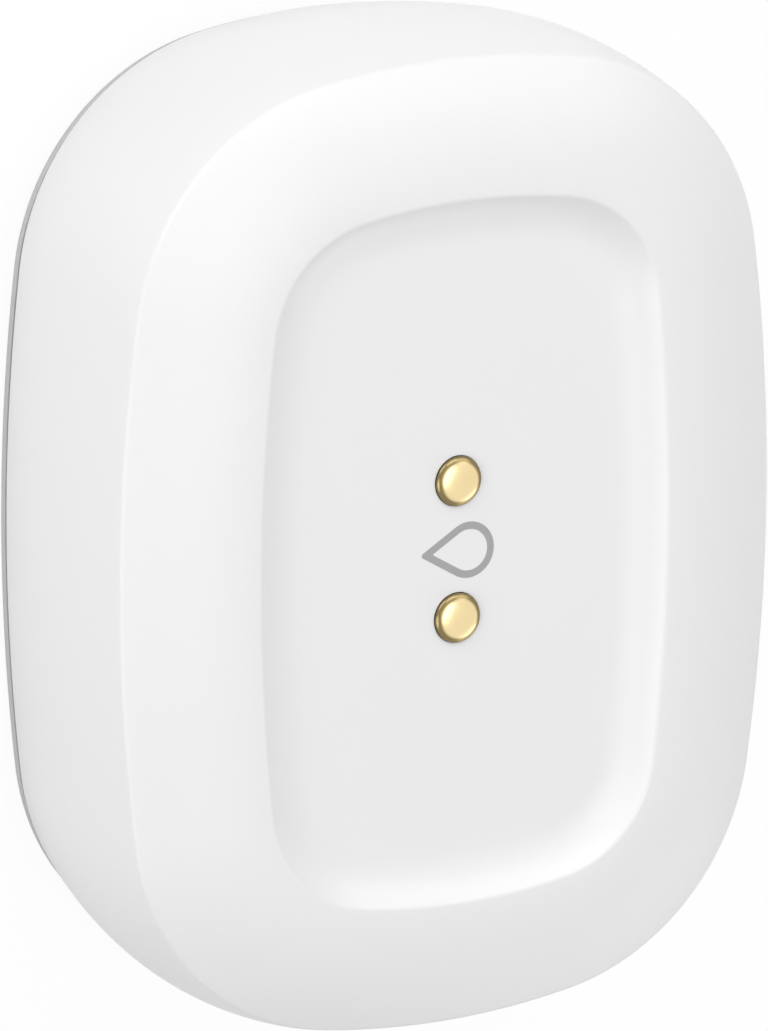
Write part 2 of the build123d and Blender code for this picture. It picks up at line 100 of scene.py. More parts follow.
# Centre of a corner arc: it lies a corner radius inside both the side arc and the end arc
def cornerCentre(sizes):
    halfWidth, halfLength, sideRadius, endRadius, cornerRadius = sizes.T
    sideX, endY = halfWidth - sideRadius, halfLength - endRadius
    toSide, toEnd = sideRadius - cornerRadius, endRadius - cornerRadius
    span = np.hypot(sideX, endY)
    along = (toSide**2 - toEnd**2 + span**2) / (2 * span)
    across = np.sqrt(toSide**2 - along**2)
    return sideX - (sideX * along + endY * across) / span, (endY * along - sideX * across) / span


# Points round each outline: eight arcs in turn, at centre + radius * (cos, sin), one row for each outline
def outlinePoints(sizes, arcs=arcOfColumn, shares=shareOfColumn):
    halfWidth, halfLength, sideRadius, endRadius, cornerRadius = sizes.T
    cornerX, cornerY = cornerCentre(sizes)
    sideX, endY, middle = halfWidth - sideRadius, halfLength - endRadius, 0 * halfWidth
    sideTurn = np.arctan2(cornerY, cornerX - sideX)
    endTurn = np.arctan2(cornerY - endY, cornerX)
    centreX = np.stack([sideX, cornerX, middle, -cornerX, -sideX, -cornerX, middle, cornerX], 1)
    centreY = np.stack([middle, cornerY, endY, cornerY, middle, -cornerY, -endY, -cornerY], 1)
    radius = np.stack([sideRadius, cornerRadius, endRadius, cornerRadius] * 2, 1)
    turns = np.stack([-sideTurn, sideTurn, endTurn, halfTurn - endTurn], 1)
    turns = np.concatenate([turns, turns + halfTurn, turns[:, :1] + 2 * halfTurn], 1)
    turns[:, 4] = halfTurn - sideTurn
    turns[:, 8] = 2 * halfTurn - sideTurn
    turn = turns[:, arcs] + (turns[:, 1:] - turns[:, :-1])[:, arcs] * shares
    x = centreX[:, arcs] + radius[:, arcs] * np.cos(turn)
    return x, centreY[:, arcs] + radius[:, arcs] * np.sin(turn)


# Grid of points from grids of x and y and from levels, which may be one for each row
def pointGrid(x, y, level):
    return np.stack([x, y, np.broadcast_to(level, x.shape)], -1)


# Grid of points: one outline for each row, each at its own level
def outlineGrid(sizes, levels, arcs=arcOfColumn, shares=shareOfColumn):
    x, y = outlinePoints(np.asarray(sizes, float), arcs, shares)
    return pointGrid(x, y, np.asarray(levels, float)[:, None])


# Grid of points round an upright axis: each at a radius, a turn and a level
def sweptGrid(place, radius, turn, level):
    return pointGrid(place[0] + radius * np.cos(turn), place[1] + radius * np.sin(turn), level)


# Equal steps of a whole turn, without the one that would meet the first
def fullTurn(columns):
    return 2 * halfTurn * np.arange(columns) / columns


# Grid of points on a surface of revolution: each profile point (radius, level) swept round an upright axis
def latheGrid(profile, place, columns):
    radius, level = np.asarray(profile, float).T[:, :, None]
    return sweptGrid(place, radius, fullTurn(columns), level)


# Quads between neighbouring rows of a grid whose last column meets its first
def gridFaces(rows, columns):
    corner = np.arange(rows - 1)[:, None] * columns + np.arange(columns)
    following = np.arange(rows - 1)[:, None] * columns + (np.arange(columns) + 1) % columns
    return np.stack([corner, following, following + columns, corner + columns], -1).reshape(-1, 4)


# Flat face at one level inside a loop and round its holes, as triangles between the given points only
def flatFace(loop, holes, level, facing):
    loops = [np.asarray(loop)[:, :2]] + [np.asarray(hole)[:, :2] for hole in holes]
    points = np.concatenate(loops)
    starts = np.cumsum([0] + [len(part) for part in loops])
    edges = [
        (int(start + step), int(start + (step + 1) % len(part)))
        for start, part in zip(starts, loops)
        for step in range(len(part))
    ]
    spots = [Vector(point) for point in points]
    flat, _, triangles, *_ = delaunay_2d_cdt(spots, edges, [], meshing["insideOnly"], meshing["sameSpot"])
    flat = np.array([tuple(point) for point in flat])
    triangles = np.array(triangles)
    middle = flat[triangles].mean(1)
    kept = insideLoop(middle, loops[0])
    for hole in loops[1:]:
        kept &= ~insideLoop(middle, hole)
    triangles = triangles[kept]
    corners = flat[triangles]
    side = np.cross(corners[:, 1] - corners[:, 0], corners[:, 2] - corners[:, 0])
    turned = np.sign(side) != facing
    triangles[turned] = triangles[turned][:, ::-1]
    return np.column_stack([flat, np.full(len(flat), level)]), triangles


# True for each point that a loop winds round: a ray towards +X crosses the loop an odd number of times
def insideLoop(points, loop):
    x, y = points[:, :1], points[:, 1:]
    x1, y1 = loop.T
    x2, y2 = np.roll(loop, -1, 0).T
    rise = np.where(y2 == y1, 1, y2 - y1)
    crossing = ((y1 > y) != (y2 > y)) & (x < x1 + (y - y1) * (x2 - x1) / rise)
    return crossing.sum(1) % 2 == 1


# An object of the scene that holds a mesh, a lamp or a camera
def addObject(name, data):
    added = bpy.data.objects.new(name, data)
    bpy.context.scene.collection.objects.link(added)
    return added


# One mesh from several patches, each a grid or a pair of points and faces, in metres and with shared rims
# merged. The piece stands for one node and takes its body and its material slot. Its name is the node's
# without the underscores, unless it has one of its own
def makePiece(node, patches, name=None, material=None, weighted=True):
    first, *others = node.split("_")
    name = name or first + "".join(map(str.capitalize, others))
    points, faces, count = [], [], 0
    for patch in patches:
        patchPoints, patchFaces = patch if isinstance(patch, tuple) else (patch, gridFaces(*patch.shape[:2]))
        points.append(np.reshape(patchPoints, (-1, 3)))
        faces += (np.asarray(patchFaces) + count).tolist()
        count += len(points[-1])
    mesh = bpy.data.meshes.new(name)
    mesh.from_pydata((np.concatenate(points) * mm).tolist(), [], faces)
    draft = bmesh.new()
    draft.from_mesh(mesh)
    bmesh.ops.remove_doubles(draft, verts=draft.verts, dist=meshing["merge"] * mm)
    bmesh.ops.dissolve_degenerate(draft, edges=draft.edges, dist=meshing["leastEdge"] * mm)
    draft.to_mesh(mesh)
    draft.free()
    mesh.polygons.foreach_set("use_smooth", np.ones(len(mesh.polygons), bool))
    mesh.set_sharp_from_angle(angle=np.radians(meshing["sharpDegrees"]))
    mesh.update()
    piece = addObject(name, mesh)
    mesh.materials.append(materials[material or slotOfNode[node]])
    if weighted:
        piece.modifiers.new("flat faces stay flat", "WEIGHTED_NORMAL").keep_sharp = True
    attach(piece, bodyOfNode[node])
    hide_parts(node)


# Lowest and highest corner of a CAD node, in millimetres
def nodeBox(node):
    return [np.array(corner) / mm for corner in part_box(node)]


# Middle of a CAD node in plan, half its size in plan and its lowest and highest level, in millimetres
def nodeBlock(node):
    low, high = nodeBox(node)
    return (low + high)[:2] / 2, (high - low)[:2] / 2, low[2], high[2]


# The same with the half width alone, for a round node
def nodeSizes(node):
    middle, half, low, high = nodeBlock(node)
    return middle, half[0], low, high


# A round rod of its node's size, with its two edges rounded
def makeRod(node, rounds, columns):
    place, radius, low, high = nodeSizes(node)
    path = [(0, low), (radius, low), (radius, high), (0, high)]
    makePiece(node, [turnedGrid(path, rounds, place, columns)])


# Outside of the side wall: a taper from crease to foot that bulges outwards as a parabola
def wallSizes(level):
    share = ((creaseLevel - np.asarray(level, float)) / bodyShape["wallHeight"])[:, None]
    straight = crease + (wallFoot - crease) * share
    bulge = 4 * share * (1 - share)
    moreWidth, moreLength = bodyShape["bulgeWidth"] * bulge, bodyShape["bulgeLength"] * bulge
    radii = straight[:, 2:] * (1 + moreWidth / straight[:, :1])
    return np.hstack([straight[:, :1] + moreWidth, straight[:, 1:2] + moreLength, radii])


# A path with its corners rounded: each corner gives way to an arc of its own radius that touches both runs
def roundedPath(points, radii, count=plainArc):
    points, radius = np.asarray(points, float), np.asarray(radii, float)[:, None]
    corner = points[1:-1]
    before, after = points[:-2] - corner, points[2:] - corner
    before /= np.linalg.norm(before, axis=1, keepdims=True)
    after /= np.linalg.norm(after, axis=1, keepdims=True)
    half = np.arccos((before * after).sum(1, keepdims=True)) / 2
    centre = corner + (before + after) / (2 * np.cos(half)) * radius / np.sin(half)
    first = corner + before * radius / np.tan(half) - centre
    last = corner + after * radius / np.tan(half) - centre
    turn = (halfTurn - 2 * half)[:, None]
    share = np.linspace(0, 1, count)[:, None]
    arcs = np.sin((1 - share) * turn) * first[:, None] + np.sin(share * turn) * last[:, None]
    arcs = centre[:, None] + arcs / np.sin(turn)
    return np.concatenate([points[:1], arcs.reshape(-1, points.shape[1]), points[-1:]])


# Grid on a surface of revolution whose profile has its corners rounded
def turnedGrid(profile, radii, place, columns, count=plainArc):
    return latheGrid(roundedPath(profile, radii, count), place, columns)


# Grid of outlines: each path point (inset, level) draws the base outline in by the inset
def insetGrid(base, path, arcs=arcOfColumn, shares=shareOfColumn):
    path = np.asarray(path, float)
    return outlineGrid(base - path[:, :1], path[:, 1], arcs, shares)


# Grid on a rounded block: each path point (inset, level) gives a rectangle drawn in by the inset, whose
# corners are arcs of the corner radius less the inset, and an inset past the half size ends in the middle
def blockGrid(place, halfSizes, cornerRadius, path, cornerPoints=plainArc):
    inset, level = np.asarray(path, float).T[:, :, None]
    turn = (np.linspace(0, halfTurn / 2, cornerPoints) + np.arange(4)[:, None] * halfTurn / 2).ravel()
    sideX, sideY = np.repeat([[1, 1], [-1, 1], [-1, -1], [1, -1]], cornerPoints, 0).T
    radius = np.maximum(cornerRadius - inset, 0)
    drawnIn = np.maximum(cornerRadius, inset)
    x = place[0] + sideX * np.maximum(halfSizes[0] - drawnIn, 0) + radius * np.cos(turn)
    y = place[1] + sideY * np.maximum(halfSizes[1] - drawnIn, 0) + radius * np.sin(turn)
    return pointGrid(x, y, level)


# Skin of a closed block from the middle of its underside over its rounded edges to the middle of its top
def closedBlock(place, halfSizes, low, high, edgeRound):
    path = [(wholeWidth, low), (0, low), (0, high), (wholeWidth, high)]
    return blockGrid(place, halfSizes, edgeRound, roundedPath(path, [edgeRound] * 2, sparseArc))


# Skin of a bent strip: a rounded rectangle, width by thickness, set across the path at each of its points
# and drawn together to the path at both ends. Its corner radius is a third of the thickness
def stripGrid(path, across, width, thickness):
    across = np.asarray(across, float)
    along = np.gradient(path, axis=0)
    along /= np.linalg.norm(along, axis=1, keepdims=True)
    upright = np.cross(along, across)
    section = blockGrid((0, 0), (width / 2, thickness / 2), thickness / 3, [(0, 0)], 3)[0, :, :2]
    skin = path[:, None] + section[:, :1] * across + section[:, 1:] * upright[:, None]
    ends = [np.broadcast_to(path[end], (1, len(section), 3)) for end in (0, -1)]
    return np.concatenate([ends[0], skin, ends[1]])


# A material with nodes, and its node tree
def newMaterial(name):
    material = bpy.data.materials.new(name)
    material.use_nodes = True
    return material, material.node_tree


# Gives a node's input its value: the output of another node is linked, and anything else is set
def feed(tree, socket, value):
    if isinstance(value, bpy.types.NodeSocket):
        tree.links.new(value, socket)
    else:
        socket.default_value = value


# A node with its settings and then its inputs, which are named or numbered
def addNode(tree, kind, inputs=(), **settings):
    node = tree.nodes.new(kind)
    for key, value in settings.items():
        setattr(node, key, value)
    for key, value in dict(inputs).items():
        feed(tree, node.inputs[key], value)
    return node


# Output of a Math node whose inputs have the values in their order
def addMath(tree, operation, *values):
    return addNode(tree, "ShaderNodeMath", enumerate(values), operation=operation).outputs[0]


# The first colour where the share is 0, the second where it is 1
def mixColours(tree, share, *colours):
    mix = addNode(tree, "ShaderNodeMix", {0: share}, data_type="RGBA")
    for socket, colour in zip((socket for socket in mix.inputs if socket.type == "RGBA"), colours):
        socket.default_value = (*colour, 1)
    return next(socket for socket in mix.outputs if socket.type == "RGBA")


# detail and roughness of the noise that has each size
noiseShape = {"Mottle Size": (3.0, 0.5), "Grain Size": (2.0, 0.6)}


# Soft mottling of the colour and a fine grain in roughness and height, on Object coordinates. The stretch
# draws the grain out into brush marks on metal
def makeGrainGroup():
    group = bpy.data.node_groups.new("surfaceGrain", "ShaderNodeTree")
    inputs = {
        "Colour": "Color", "Mottle Size": "Float", "Mottle Strength": "Float", "Grain Size": "Float",
        "Stretch": "Vector", "Roughness": "Float", "Roughness Change": "Float",
    }
    outputs = {"Colour": "Color", "Roughness": "Float", "Height": "Float"}
    for way, sockets in (("INPUT", inputs), ("OUTPUT", outputs)):
        for name, kind in sockets.items():
            group.interface.new_socket(name=name, in_out=way, socket_type="NodeSocket" + kind)
    given = addNode(group, "NodeGroupInput").outputs
    place = addNode(group, "ShaderNodeTexCoord").outputs["Object"]
    stretched = addNode(group, "ShaderNodeVectorMath", {0: place, 1: given["Stretch"]}, operation="MULTIPLY")
    noises = []
    for where, (size, (detail, roughness)) in zip((place, stretched.outputs[0]), noiseShape.items()):
        scale = addMath(group, "DIVIDE", 1.0, given[size])
        inputs = {"Vector": where, "Scale": scale, "Detail": detail, "Roughness": roughness}
        noises.append(addNode(group, "ShaderNodeTexNoise", inputs).outputs["Fac"])
    mottle, grain = (addMath(group, "SUBTRACT", noise, 0.5) for noise in noises)
    shade = addMath(group, "MULTIPLY_ADD", mottle, given["Mottle Strength"], 1.0)
    dull = addMath(group, "MULTIPLY_ADD", grain, given["Roughness Change"], given["Roughness"])
    tint = addNode(group, "ShaderNodeVectorMath", {0: given["Colour"], "Scale": shade}, operation="SCALE")
    addNode(group, "NodeGroupOutput", {"Colour": tint.outputs[0], "Roughness": dull, "Height": noises[1]})
    return group


grainGroup = makeGrainGroup()
# What a finish has unless it says otherwise, with its lengths in millimetres
plainFinish = {
    "mottleSize": 6,
    "mottleStrength": 0.02,
    "grainSize": 0.08,
    "grainHeight": 0.002,
    "stretch": (1, 1, 1),
    "roughnessChange": 0.08,
    "metallic": 0.0,
    "sockets": {},
}


# A Principled finish whose colour, roughness and bump come from the grain group
def grainedMaterial(name, finish):
    finish = {**plainFinish, **finish}
    material, tree = newMaterial(name)
    grain = addNode(tree, "ShaderNodeGroup", {
        "Colour": (*finish["colour"], 1),
        "Mottle Size": finish["mottleSize"] * mm,
        "Mottle Strength": finish["mottleStrength"],
        "Grain Size": finish["grainSize"] * mm,
        "Stretch": finish["stretch"],
        "Roughness": finish["roughness"],
        "Roughness Change": finish["roughnessChange"],
    }, node_tree=grainGroup).outputs
    bumpInputs = {"Strength": 1.0, "Distance": finish["grainHeight"] * mm, "Height": grain["Height"]}
    surface = {
        "Base Color": grain["Colour"],
        "Roughness": grain["Roughness"],
        "Normal": addNode(tree, "ShaderNodeBump", bumpInputs).outputs["Normal"],
        "Metallic": finish["metallic"],
        **finish["sockets"],
    }
    for key, value in surface.items():
        feed(tree, tree.nodes["Principled BSDF"].inputs[key], value)
    return material


# Gives a grained material the colour that one of its own nodes puts out
def recolour(material, colour):
    tree = material.node_tree
    feed(tree, next(node for node in tree.nodes if node.type == "GROUP").inputs["Colour"], colour)
    return material


finishes = {
    "case_plastic": {
        "colour": (0.862, 0.862, 0.865),
        "roughness": 0.36,
        "mottleStrength": 0.012,
        "grainHeight": 0.0012,
    },
    "base_plastic": {"colour": (0.52, 0.525, 0.535), "roughness": 0.45, "grainHeight": 0.0015},
    "seal_rubber": {
        "colour": (0.075, 0.08, 0.085),
        "roughness": 0.62,
        "grainSize": 0.1,
        "grainHeight": 0.003,
    },
    "foot_rubber": {"colour": (0.6, 0.61, 0.62), "roughness": 0.6, "grainSize": 0.15, "grainHeight": 0.004},
    "gold_plating": {
        "colour": (0.842, 0.675, 0.376),
        "roughness": 0.24,
        "metallic": 1.0,
        "mottleSize": 0.6,
        "mottleStrength": 0.05,
        "grainSize": 0.06,
        "grainHeight": 0.0008,
    },
    "icon_ink": {
        "colour": (0.376, 0.376, 0.385),
        "roughness": 0.5,
        "mottleSize": 0.4,
        "mottleStrength": 0.06,
        "grainSize": 0.05,
    },
    "chassis_plastic": {"colour": (0.6, 0.61, 0.63), "roughness": 0.45},
    "screw_steel": {
        "colour": (0.5, 0.51, 0.54),
        "roughness": 0.32,
        "metallic": 1.0,
        "mottleSize": 0.8,
        "mottleStrength": 0.15,
        "grainHeight": 0.001,
    },
    "holder_plastic": {"colour": (0.012, 0.012, 0.013), "roughness": 0.5, "grainSize": 0.1},
    "cell_steel": {
        "colour": (0.6, 0.61, 0.62),
        "roughness": 0.3,
        "roughnessChange": 0.2,
        "metallic": 1.0,
        "stretch": (0.04, 1, 1),
        "grainHeight": 0.001,
    },
    "spring_steel": {
        "colour": (0.52, 0.52, 0.53),
        "roughness": 0.3,
        "roughnessChange": 0.15,
        "metallic": 1.0,
        "stretch": (1, 0.1, 1),
        "grainHeight": 0.001,
    },
    "led_resin": {"colour": (0.86, 0.78, 0.42), "roughness": 0.25, "mottleSize": 0.3, "mottleStrength": 0.1},
    "clear_plastic": {
        "colour": (0.93, 0.96, 0.98),
        "roughness": 0.12,
        "roughnessChange": 0.04,
        "sockets": {"Transmission Weight": 1.0, "IOR": 1.49},
    },
    "shield_tin": {
        "colour": (0.63, 0.63, 0.6),
        "roughness": 0.35,
        "roughnessChange": 0.15,
        "metallic": 1.0,
        "mottleSize": 2,
        "mottleStrength": 0.1,
        "stretch": (0.2, 1, 1),
    },
    "chip_plastic": {"colour": (0.011, 0.011, 0.012), "roughness": 0.55, "grainSize": 0.06},
    "chip_ceramic": {"colour": (0.42, 0.3, 0.18), "roughness": 0.5, "mottleSize": 0.5, "mottleStrength": 0.1},
    "button_plastic": {"colour": (0.1, 0.11, 0.12), "roughness": 0.45},
}
materials = {name: grainedMaterial(name, finish) for name, finish in finishes.items()}


# Painted shade and reflection on the contacts' heads: the dark rim and olive shoulder colours stand in for
# the dark surroundings that the curved edge reflects and for the shadow round the head
contactPaintedShade = {
    "rim": (0.12, 0.095, 0.045),
    "shoulder": (0.24, 0.184, 0.086),
    # share of the normal that stands upright: end of the rim, both ends of the shoulder, start of the face
    "stops": (0.02, 0.3, 0.92, 0.975),
}


# Gold of a contact with painted shade and reflection towards its rim: a ramp over the upright part of its own
# normal goes from the dark rim by the olive shoulder to the plated face, painting in the dark surroundings
# and the shadow round the head
def makeContactGoldWithPaintedShade():
    shade, gold = contactPaintedShade, finishes["gold_plating"]
    material = grainedMaterial("contact_gold", gold)
    tree = material.node_tree
    normal = addNode(tree, "ShaderNodeTexCoord").outputs["Normal"]
    upright = addNode(tree, "ShaderNodeSeparateXYZ", {0: normal}).outputs["Z"]
    ramp = addNode(tree, "ShaderNodeValToRGB", {"Fac": addMath(tree, "ABSOLUTE", upright)})
    ramp.color_ramp.interpolation = "EASE"
    elements = ramp.color_ramp.elements
    colours = (shade["rim"], shade["shoulder"], shade["shoulder"], gold["colour"])
    while len(elements) < len(colours):
        elements.new(0.5)
    for element, place, colour in zip(elements, shade["stops"], colours):
        element.position, element.color = place, (*colour, 1)
    return recolour(material, ramp.outputs["Color"])


boardFinish = {
    "mask": (0.012, 0.11, 0.045),
    "copper": (0.03, 0.2, 0.08),
    "roughness": 0.28,
    "sockets": {"Coat Weight": 0.3},
    "trackPitch": 0.9,
    "trackLength": 7.0,
    "trackWidth": 0.16,
    "areaSize": 5.0,
    "areaShare": 0.5,
}


# Solder resist over copper tracks: the joints of a stretched brick pattern, kept where a slow noise is high,
# show a paler green
def makeBoardMaterial():
    board = boardFinish
    finish = {"colour": board["mask"], "roughness": board["roughness"], "sockets": board["sockets"]}
    material = grainedMaterial("board_laminate", finish)
    tree = material.node_tree
    place = addNode(tree, "ShaderNodeTexCoord").outputs["Object"]
    tracks = addNode(tree, "ShaderNodeTexBrick", {
        "Vector": place,
        "Scale": 1 / mm,
        "Brick Width": board["trackLength"],
        "Row Height": board["trackPitch"],
        "Mortar Size": board["trackWidth"] / 2,
    }).outputs["Fac"]
    area = addNode(tree, "ShaderNodeTexNoise", {"Vector": place, "Scale": 1 / (board["areaSize"] * mm)})
    kept = addMath(tree, "GREATER_THAN", area.outputs["Fac"], board["areaShare"])
    shown = addMath(tree, "MULTIPLY", tracks, kept)
    return recolour(material, mixColours(tree, shown, board["mask"], board["copper"]))


# The contacts' gold has a painted dark rim and shoulder, painted shade and reflection
materials["contact_gold"] = makeContactGoldWithPaintedShade()
materials["board_laminate"] = makeBoardMaterial()
print("materials made")


screwPlaces = [nodeSizes(f"case_screw_{number}")[0] for number in range(1, 5)]
dripPlaces = [nodeSizes(f"drip_contact_{number}")[0] for number in (1, 2)]
floodPlaces = [nodeSizes(f"flood_contact_{number}")[0] for number in (1, 2)]
cellPlace = nodeSizes("coin_cell")[0]
buttonPlace = nodeSizes("connect_button")[0]
pipePlace = nodeSizes("light_pipe")[0]
boardLow, boardHigh = (corner[2] for corner in nodeBox("circuit_board"))
holeColumns = 64


# Round wall of a hole through a plate, from its top edge down to its lower edge, both edges rounded
def holeWall(place, radius, low, high, edgeRound=0.1):
    lap = radius + 2 * edgeRound
    path = [(lap, high), (radius, high), (radius, low), (lap, low)]
    return turnedGrid(path, [edgeRound] * 2, place, holeColumns, sparseArc)


# Patches of a flat plate inside an outline: its rim with rounded edges, its two faces, and the walls of the
# holes and posts that go through them
def plateWithHoles(outline, low, high, edgeRound, lap, walls):
    rim = [(lap, low), (0, low), (0, high), (lap, high)]
    skin = insetGrid(outline, roundedPath(rim, [edgeRound] * 2))
    top = flatFace(skin[-1], [wall[0] for wall in walls], high, 1)
    bottom = flatFace(skin[0], [wall[-1] for wall in walls], low, -1)
    return [skin, top, bottom, *walls]


caseShape = {
    "rimWall": 1.3,
    "rimRound": 0.08,
    "rimRows": 6,
    "creaseRound": 0.2,
    "lipRound": 0.16,
    "slopePower": 2.5,
    "wall": 1.5,
    "roofLevel": 17.0,
    "roofSlopeRun": 3.0,
    "boreTop": 4.5,
    "wallRows": 36,
    "creaseRows": 14,
    "lipRows": 10,
    "clearShare": 1.05,
    "crownRows": 34,
    "slopeRows": 36,
    "seatRound": 0.02,
    "seatGap": 0.02,
    "seatDepth": 0.8,
    "seatColumns": 96,
    "bossRoot": 17.7,
    "bossRound": 0.2,
    # outer radius, bore radius, lower end and top of the bore
    "post": (2.2, 1.02, 13.6, 16.2),
    "dripBoss": (2.4, 0.62, 15.8, 17.0),
    "pipeCollar": (2.03, 1.18, 15.5, 17.0),
}


# Profile of the case's skin as rows of (five outline sizes, level), from the edge of the flat roof inside,
# down the bore, round the rim, up the bulging wall, over the crease and the crown, and down into the dish
def caseProfile():
    shape = caseShape
    rimBore = foot - shape["rimWall"]
    creaseInside = crease - shape["wall"]
    inner = [
        np.append(creaseInside - shape["roofSlopeRun"], shape["roofLevel"]),
        np.append(creaseInside, creaseLevel - shape["wall"]),
        np.append(rimBore, shape["boreTop"]),
        np.append(rimBore, rimLevel),
    ]
    outerRim = wallSizes([rimLevel + shape["rimRound"]])[0]
    turn = np.linspace(0, halfTurn / 2, shape["rimRows"])[:, None]
    rimRows = np.hstack([
        outerRim - shape["rimRound"] * (1 - np.sin(turn)),
        rimLevel + shape["rimRound"] * (1 - np.cos(turn)),
    ])
    wallLevels = np.linspace(rimLevel + shape["rimRound"], creaseLevel, shape["wallRows"])
    wallRows = np.hstack([wallSizes(wallLevels), wallLevels[:, None]])
    share = np.linspace(0, 1, shape["crownRows"])[:, None]
    crownRows = np.hstack([
        crease + (lip - crease) * share,
        creaseLevel + bodyShape["crownRise"] * (1 - (1 - share) ** 2),
    ])
    share = np.linspace(0, 1, shape["slopeRows"])[:, None]
    slopeRows = np.hstack([
        lip - bodyShape["dishSlopeRun"] * share,
        dishLevel + bodyShape["dishDepth"] * (1 - share) ** shape["slopePower"],
    ])
    top = roundedEdge(crownRows, slopeRows, shape["lipRound"], shape["lipRows"])
    outside = roundedEdge(wallRows[1:], top, shape["creaseRound"], shape["creaseRows"])
    return np.concatenate([inner, rimRows, outside])


# Two runs of rows that meet in an edge, with the edge rounded: rows nearer to it than a distance, or hardly
# further, give way to a quadratic curve that leaves the first run towards the edge and joins the second
def roundedEdge(before, after, distance, count):
    beforeAway = np.hypot(before[:, 0] - before[-1, 0], before[:, 5] - before[-1, 5])
    afterAway = np.hypot(after[:, 0] - after[0, 0], after[:, 5] - after[0, 5])
    near = afterAway[: np.argmax(afterAway > 2 * distance) + 1]
    start = np.array([np.interp(-distance, -beforeAway, column) for column in before.T])
    end = np.array([np.interp(distance, near, column[: len(near)]) for column in after.T])
    t = np.linspace(0, 1, count)[:, None]
    curve = (1 - t) ** 2 * start + 2 * t * (1 - t) * before[-1] + t**2 * end
    clear = distance * caseShape["clearShare"]
    keptAfter = np.cumsum(afterAway > clear) > 0
    return np.concatenate([before[beforeAway > clear], curve, after[keptAfter]])


# A boss on the roof inside: down its bore, round its lower end and up its outside, into the roof
def caseBoss(place, sizes):
    outer, bore, end, boreTop = sizes
    edgeRound, root = caseShape["bossRound"], caseShape["bossRoot"]
    path = [(0, boreTop), (bore, boreTop), (bore, end), (outer, end), (outer, root), (0, root)]
    return turnedGrid(path, [fineRound, edgeRound / 2, edgeRound, fineRound], place, holeColumns, sparseArc)


# The case: its outer and inner skin, the floor of the dish with the contacts' seats, and the bosses inside
def makeCase():
    shape = caseShape
    rows = caseProfile()
    skin = outlineGrid(rows[:, :5], rows[:, 5])
    seatFloor = dishLevel - shape["seatDepth"]
    radius, edgeRound = nodeSizes("drip_contact_1")[1] + shape["seatGap"], shape["seatRound"]
    path = [(radius + 2 * edgeRound, dishLevel), (radius, dishLevel), (radius, seatFloor), (0, seatFloor)]
    seats = [turnedGrid(path, [edgeRound, fineRound], place, shape["seatColumns"]) for place in dripPlaces]
    bosses = [caseBoss(place, shape["post"]) for place in screwPlaces]
    bosses += [caseBoss(place, shape["dripBoss"]) for place in dripPlaces]
    bosses += [caseBoss(pipePlace, shape["pipeCollar"])]
    dishFloor = flatFace(skin[-1], [seat[0] for seat in seats], dishLevel, 1)
    roof = flatFace(skin[0], [], shape["roofLevel"], -1)
    makePiece("upper_case", [skin, dishFloor, roof, *seats, *bosses], "caseShell")


makeCase()
print("case made")


contactShape = {
    "domeRise": 0.42,
    "domePower": 2.4,
    "domeRows": 26,
    "columns": 96,
    "shankRadius": {"drip": 0.6, "flood": 0.8},
    "collar": 0.1,
}


# Head of a contact: a dome that is flat in the middle and upright at its rim, on a thin shank. The dome's
# profile is a superellipse, (radius / head radius)^power + (height / rise)^power = 1. The path runs from the
# shank's end to the middle of the dome, and is turned round for a head that points down
def contactGrid(place, headRadius, shankRadius, shankEnd, seat, tip):
    shape = contactShape
    up = np.sign(tip - seat)
    turn = np.linspace(0, halfTurn / 2, shape["domeRows"])
    drop = shape["domeRise"] * (1 - np.sin(turn) ** (2 / shape["domePower"]))
    dome = np.stack([headRadius * np.cos(turn) ** (2 / shape["domePower"]), tip - up * drop], 1)
    dome[-1, 0] = 0
    shank = roundedPath(
        [(0, shankEnd), (shankRadius, shankEnd), (shankRadius, seat), (headRadius, seat)],
        [shape["collar"], shape["collar"] / 2],
    )
    path = np.concatenate([shank, dome])
    return latheGrid(path if up > 0 else path[::-1], place, shape["columns"])


# The drip contacts point up out of the dish and the flood contacts point down out of the base
def makeContacts():
    collar = contactShape["collar"]
    for number in (1, 2):
        for kind, shankRadius in contactShape["shankRadius"].items():
            node = f"{kind}_contact_{number}"
            place, headRadius, low, high = nodeSizes(node)
            levels = (low, dishLevel - collar, high) if kind == "drip" else (high, plateBottom + collar, low)
            makePiece(node, [contactGrid(place, headRadius, shankRadius, *levels)], material="contact_gold")


makeContacts()


washerShape = {
    # edge round and the points on its arc
    "rounds": {"seal": (0.18, plainArc), "clip": (0.06, 3)},
    "shaftGap": 0.02,
    "teeth": 6,
    "toothDepth": 0.55,
    "toothBend": 0.12,
    "toothSharpness": 4,
    "bendWay": {"drip": -1, "flood": 1},
    "columns": 96,
}


# Seals are rings with rounded edges. A clip is a thin ring whose bore is let out between its teeth, which
# are bent a little along the shank: the bore's radius is a rounded square wave of the turn
def makeWashers():
    shape = washerShape
    turn = fullTurn(shape["columns"])
    gap = (1 + np.tanh(shape["toothSharpness"] * np.sin(shape["teeth"] * turn))) / 2
    for kind, number, part in product(("drip", "flood"), (1, 2), shape["rounds"]):
        node = f"{kind}_{part}_{number}"
        place, outer, low, high = nodeSizes(node)
        shaft = contactShape["shankRadius"][kind] + shape["shaftGap"]
        seam = (shaft, (low + high) / 2)
        path = [seam, (shaft, low), (outer, low), (outer, high), (shaft, high), seam]
        edgeRound, count = shape["rounds"][part]
        radius, level = roundedPath(path, [edgeRound] * 4, count).T[:, :, None]
        if part == "clip":
            inward = ((outer - radius) / (outer - shaft)) ** 2
            radius = radius + shape["toothDepth"] * gap * inward
            level = level + shape["bendWay"][kind] * shape["toothBend"] * np.maximum(2 * inward - 1, 0)
        makePiece(node, [sweptGrid(place, radius, turn, level)])


makeWashers()


dropShape = {
    "roundRadius": 1.63,
    "centreOffset": 0.72,
    "tipReach": 2.3,
    "tipRound": 0.16,
    "innerTipRound": 0.06,
    "stroke": 0.43,
    "roundPoints": 64,
    "flankPoints": 8,
    "tipPoints": 16,
}


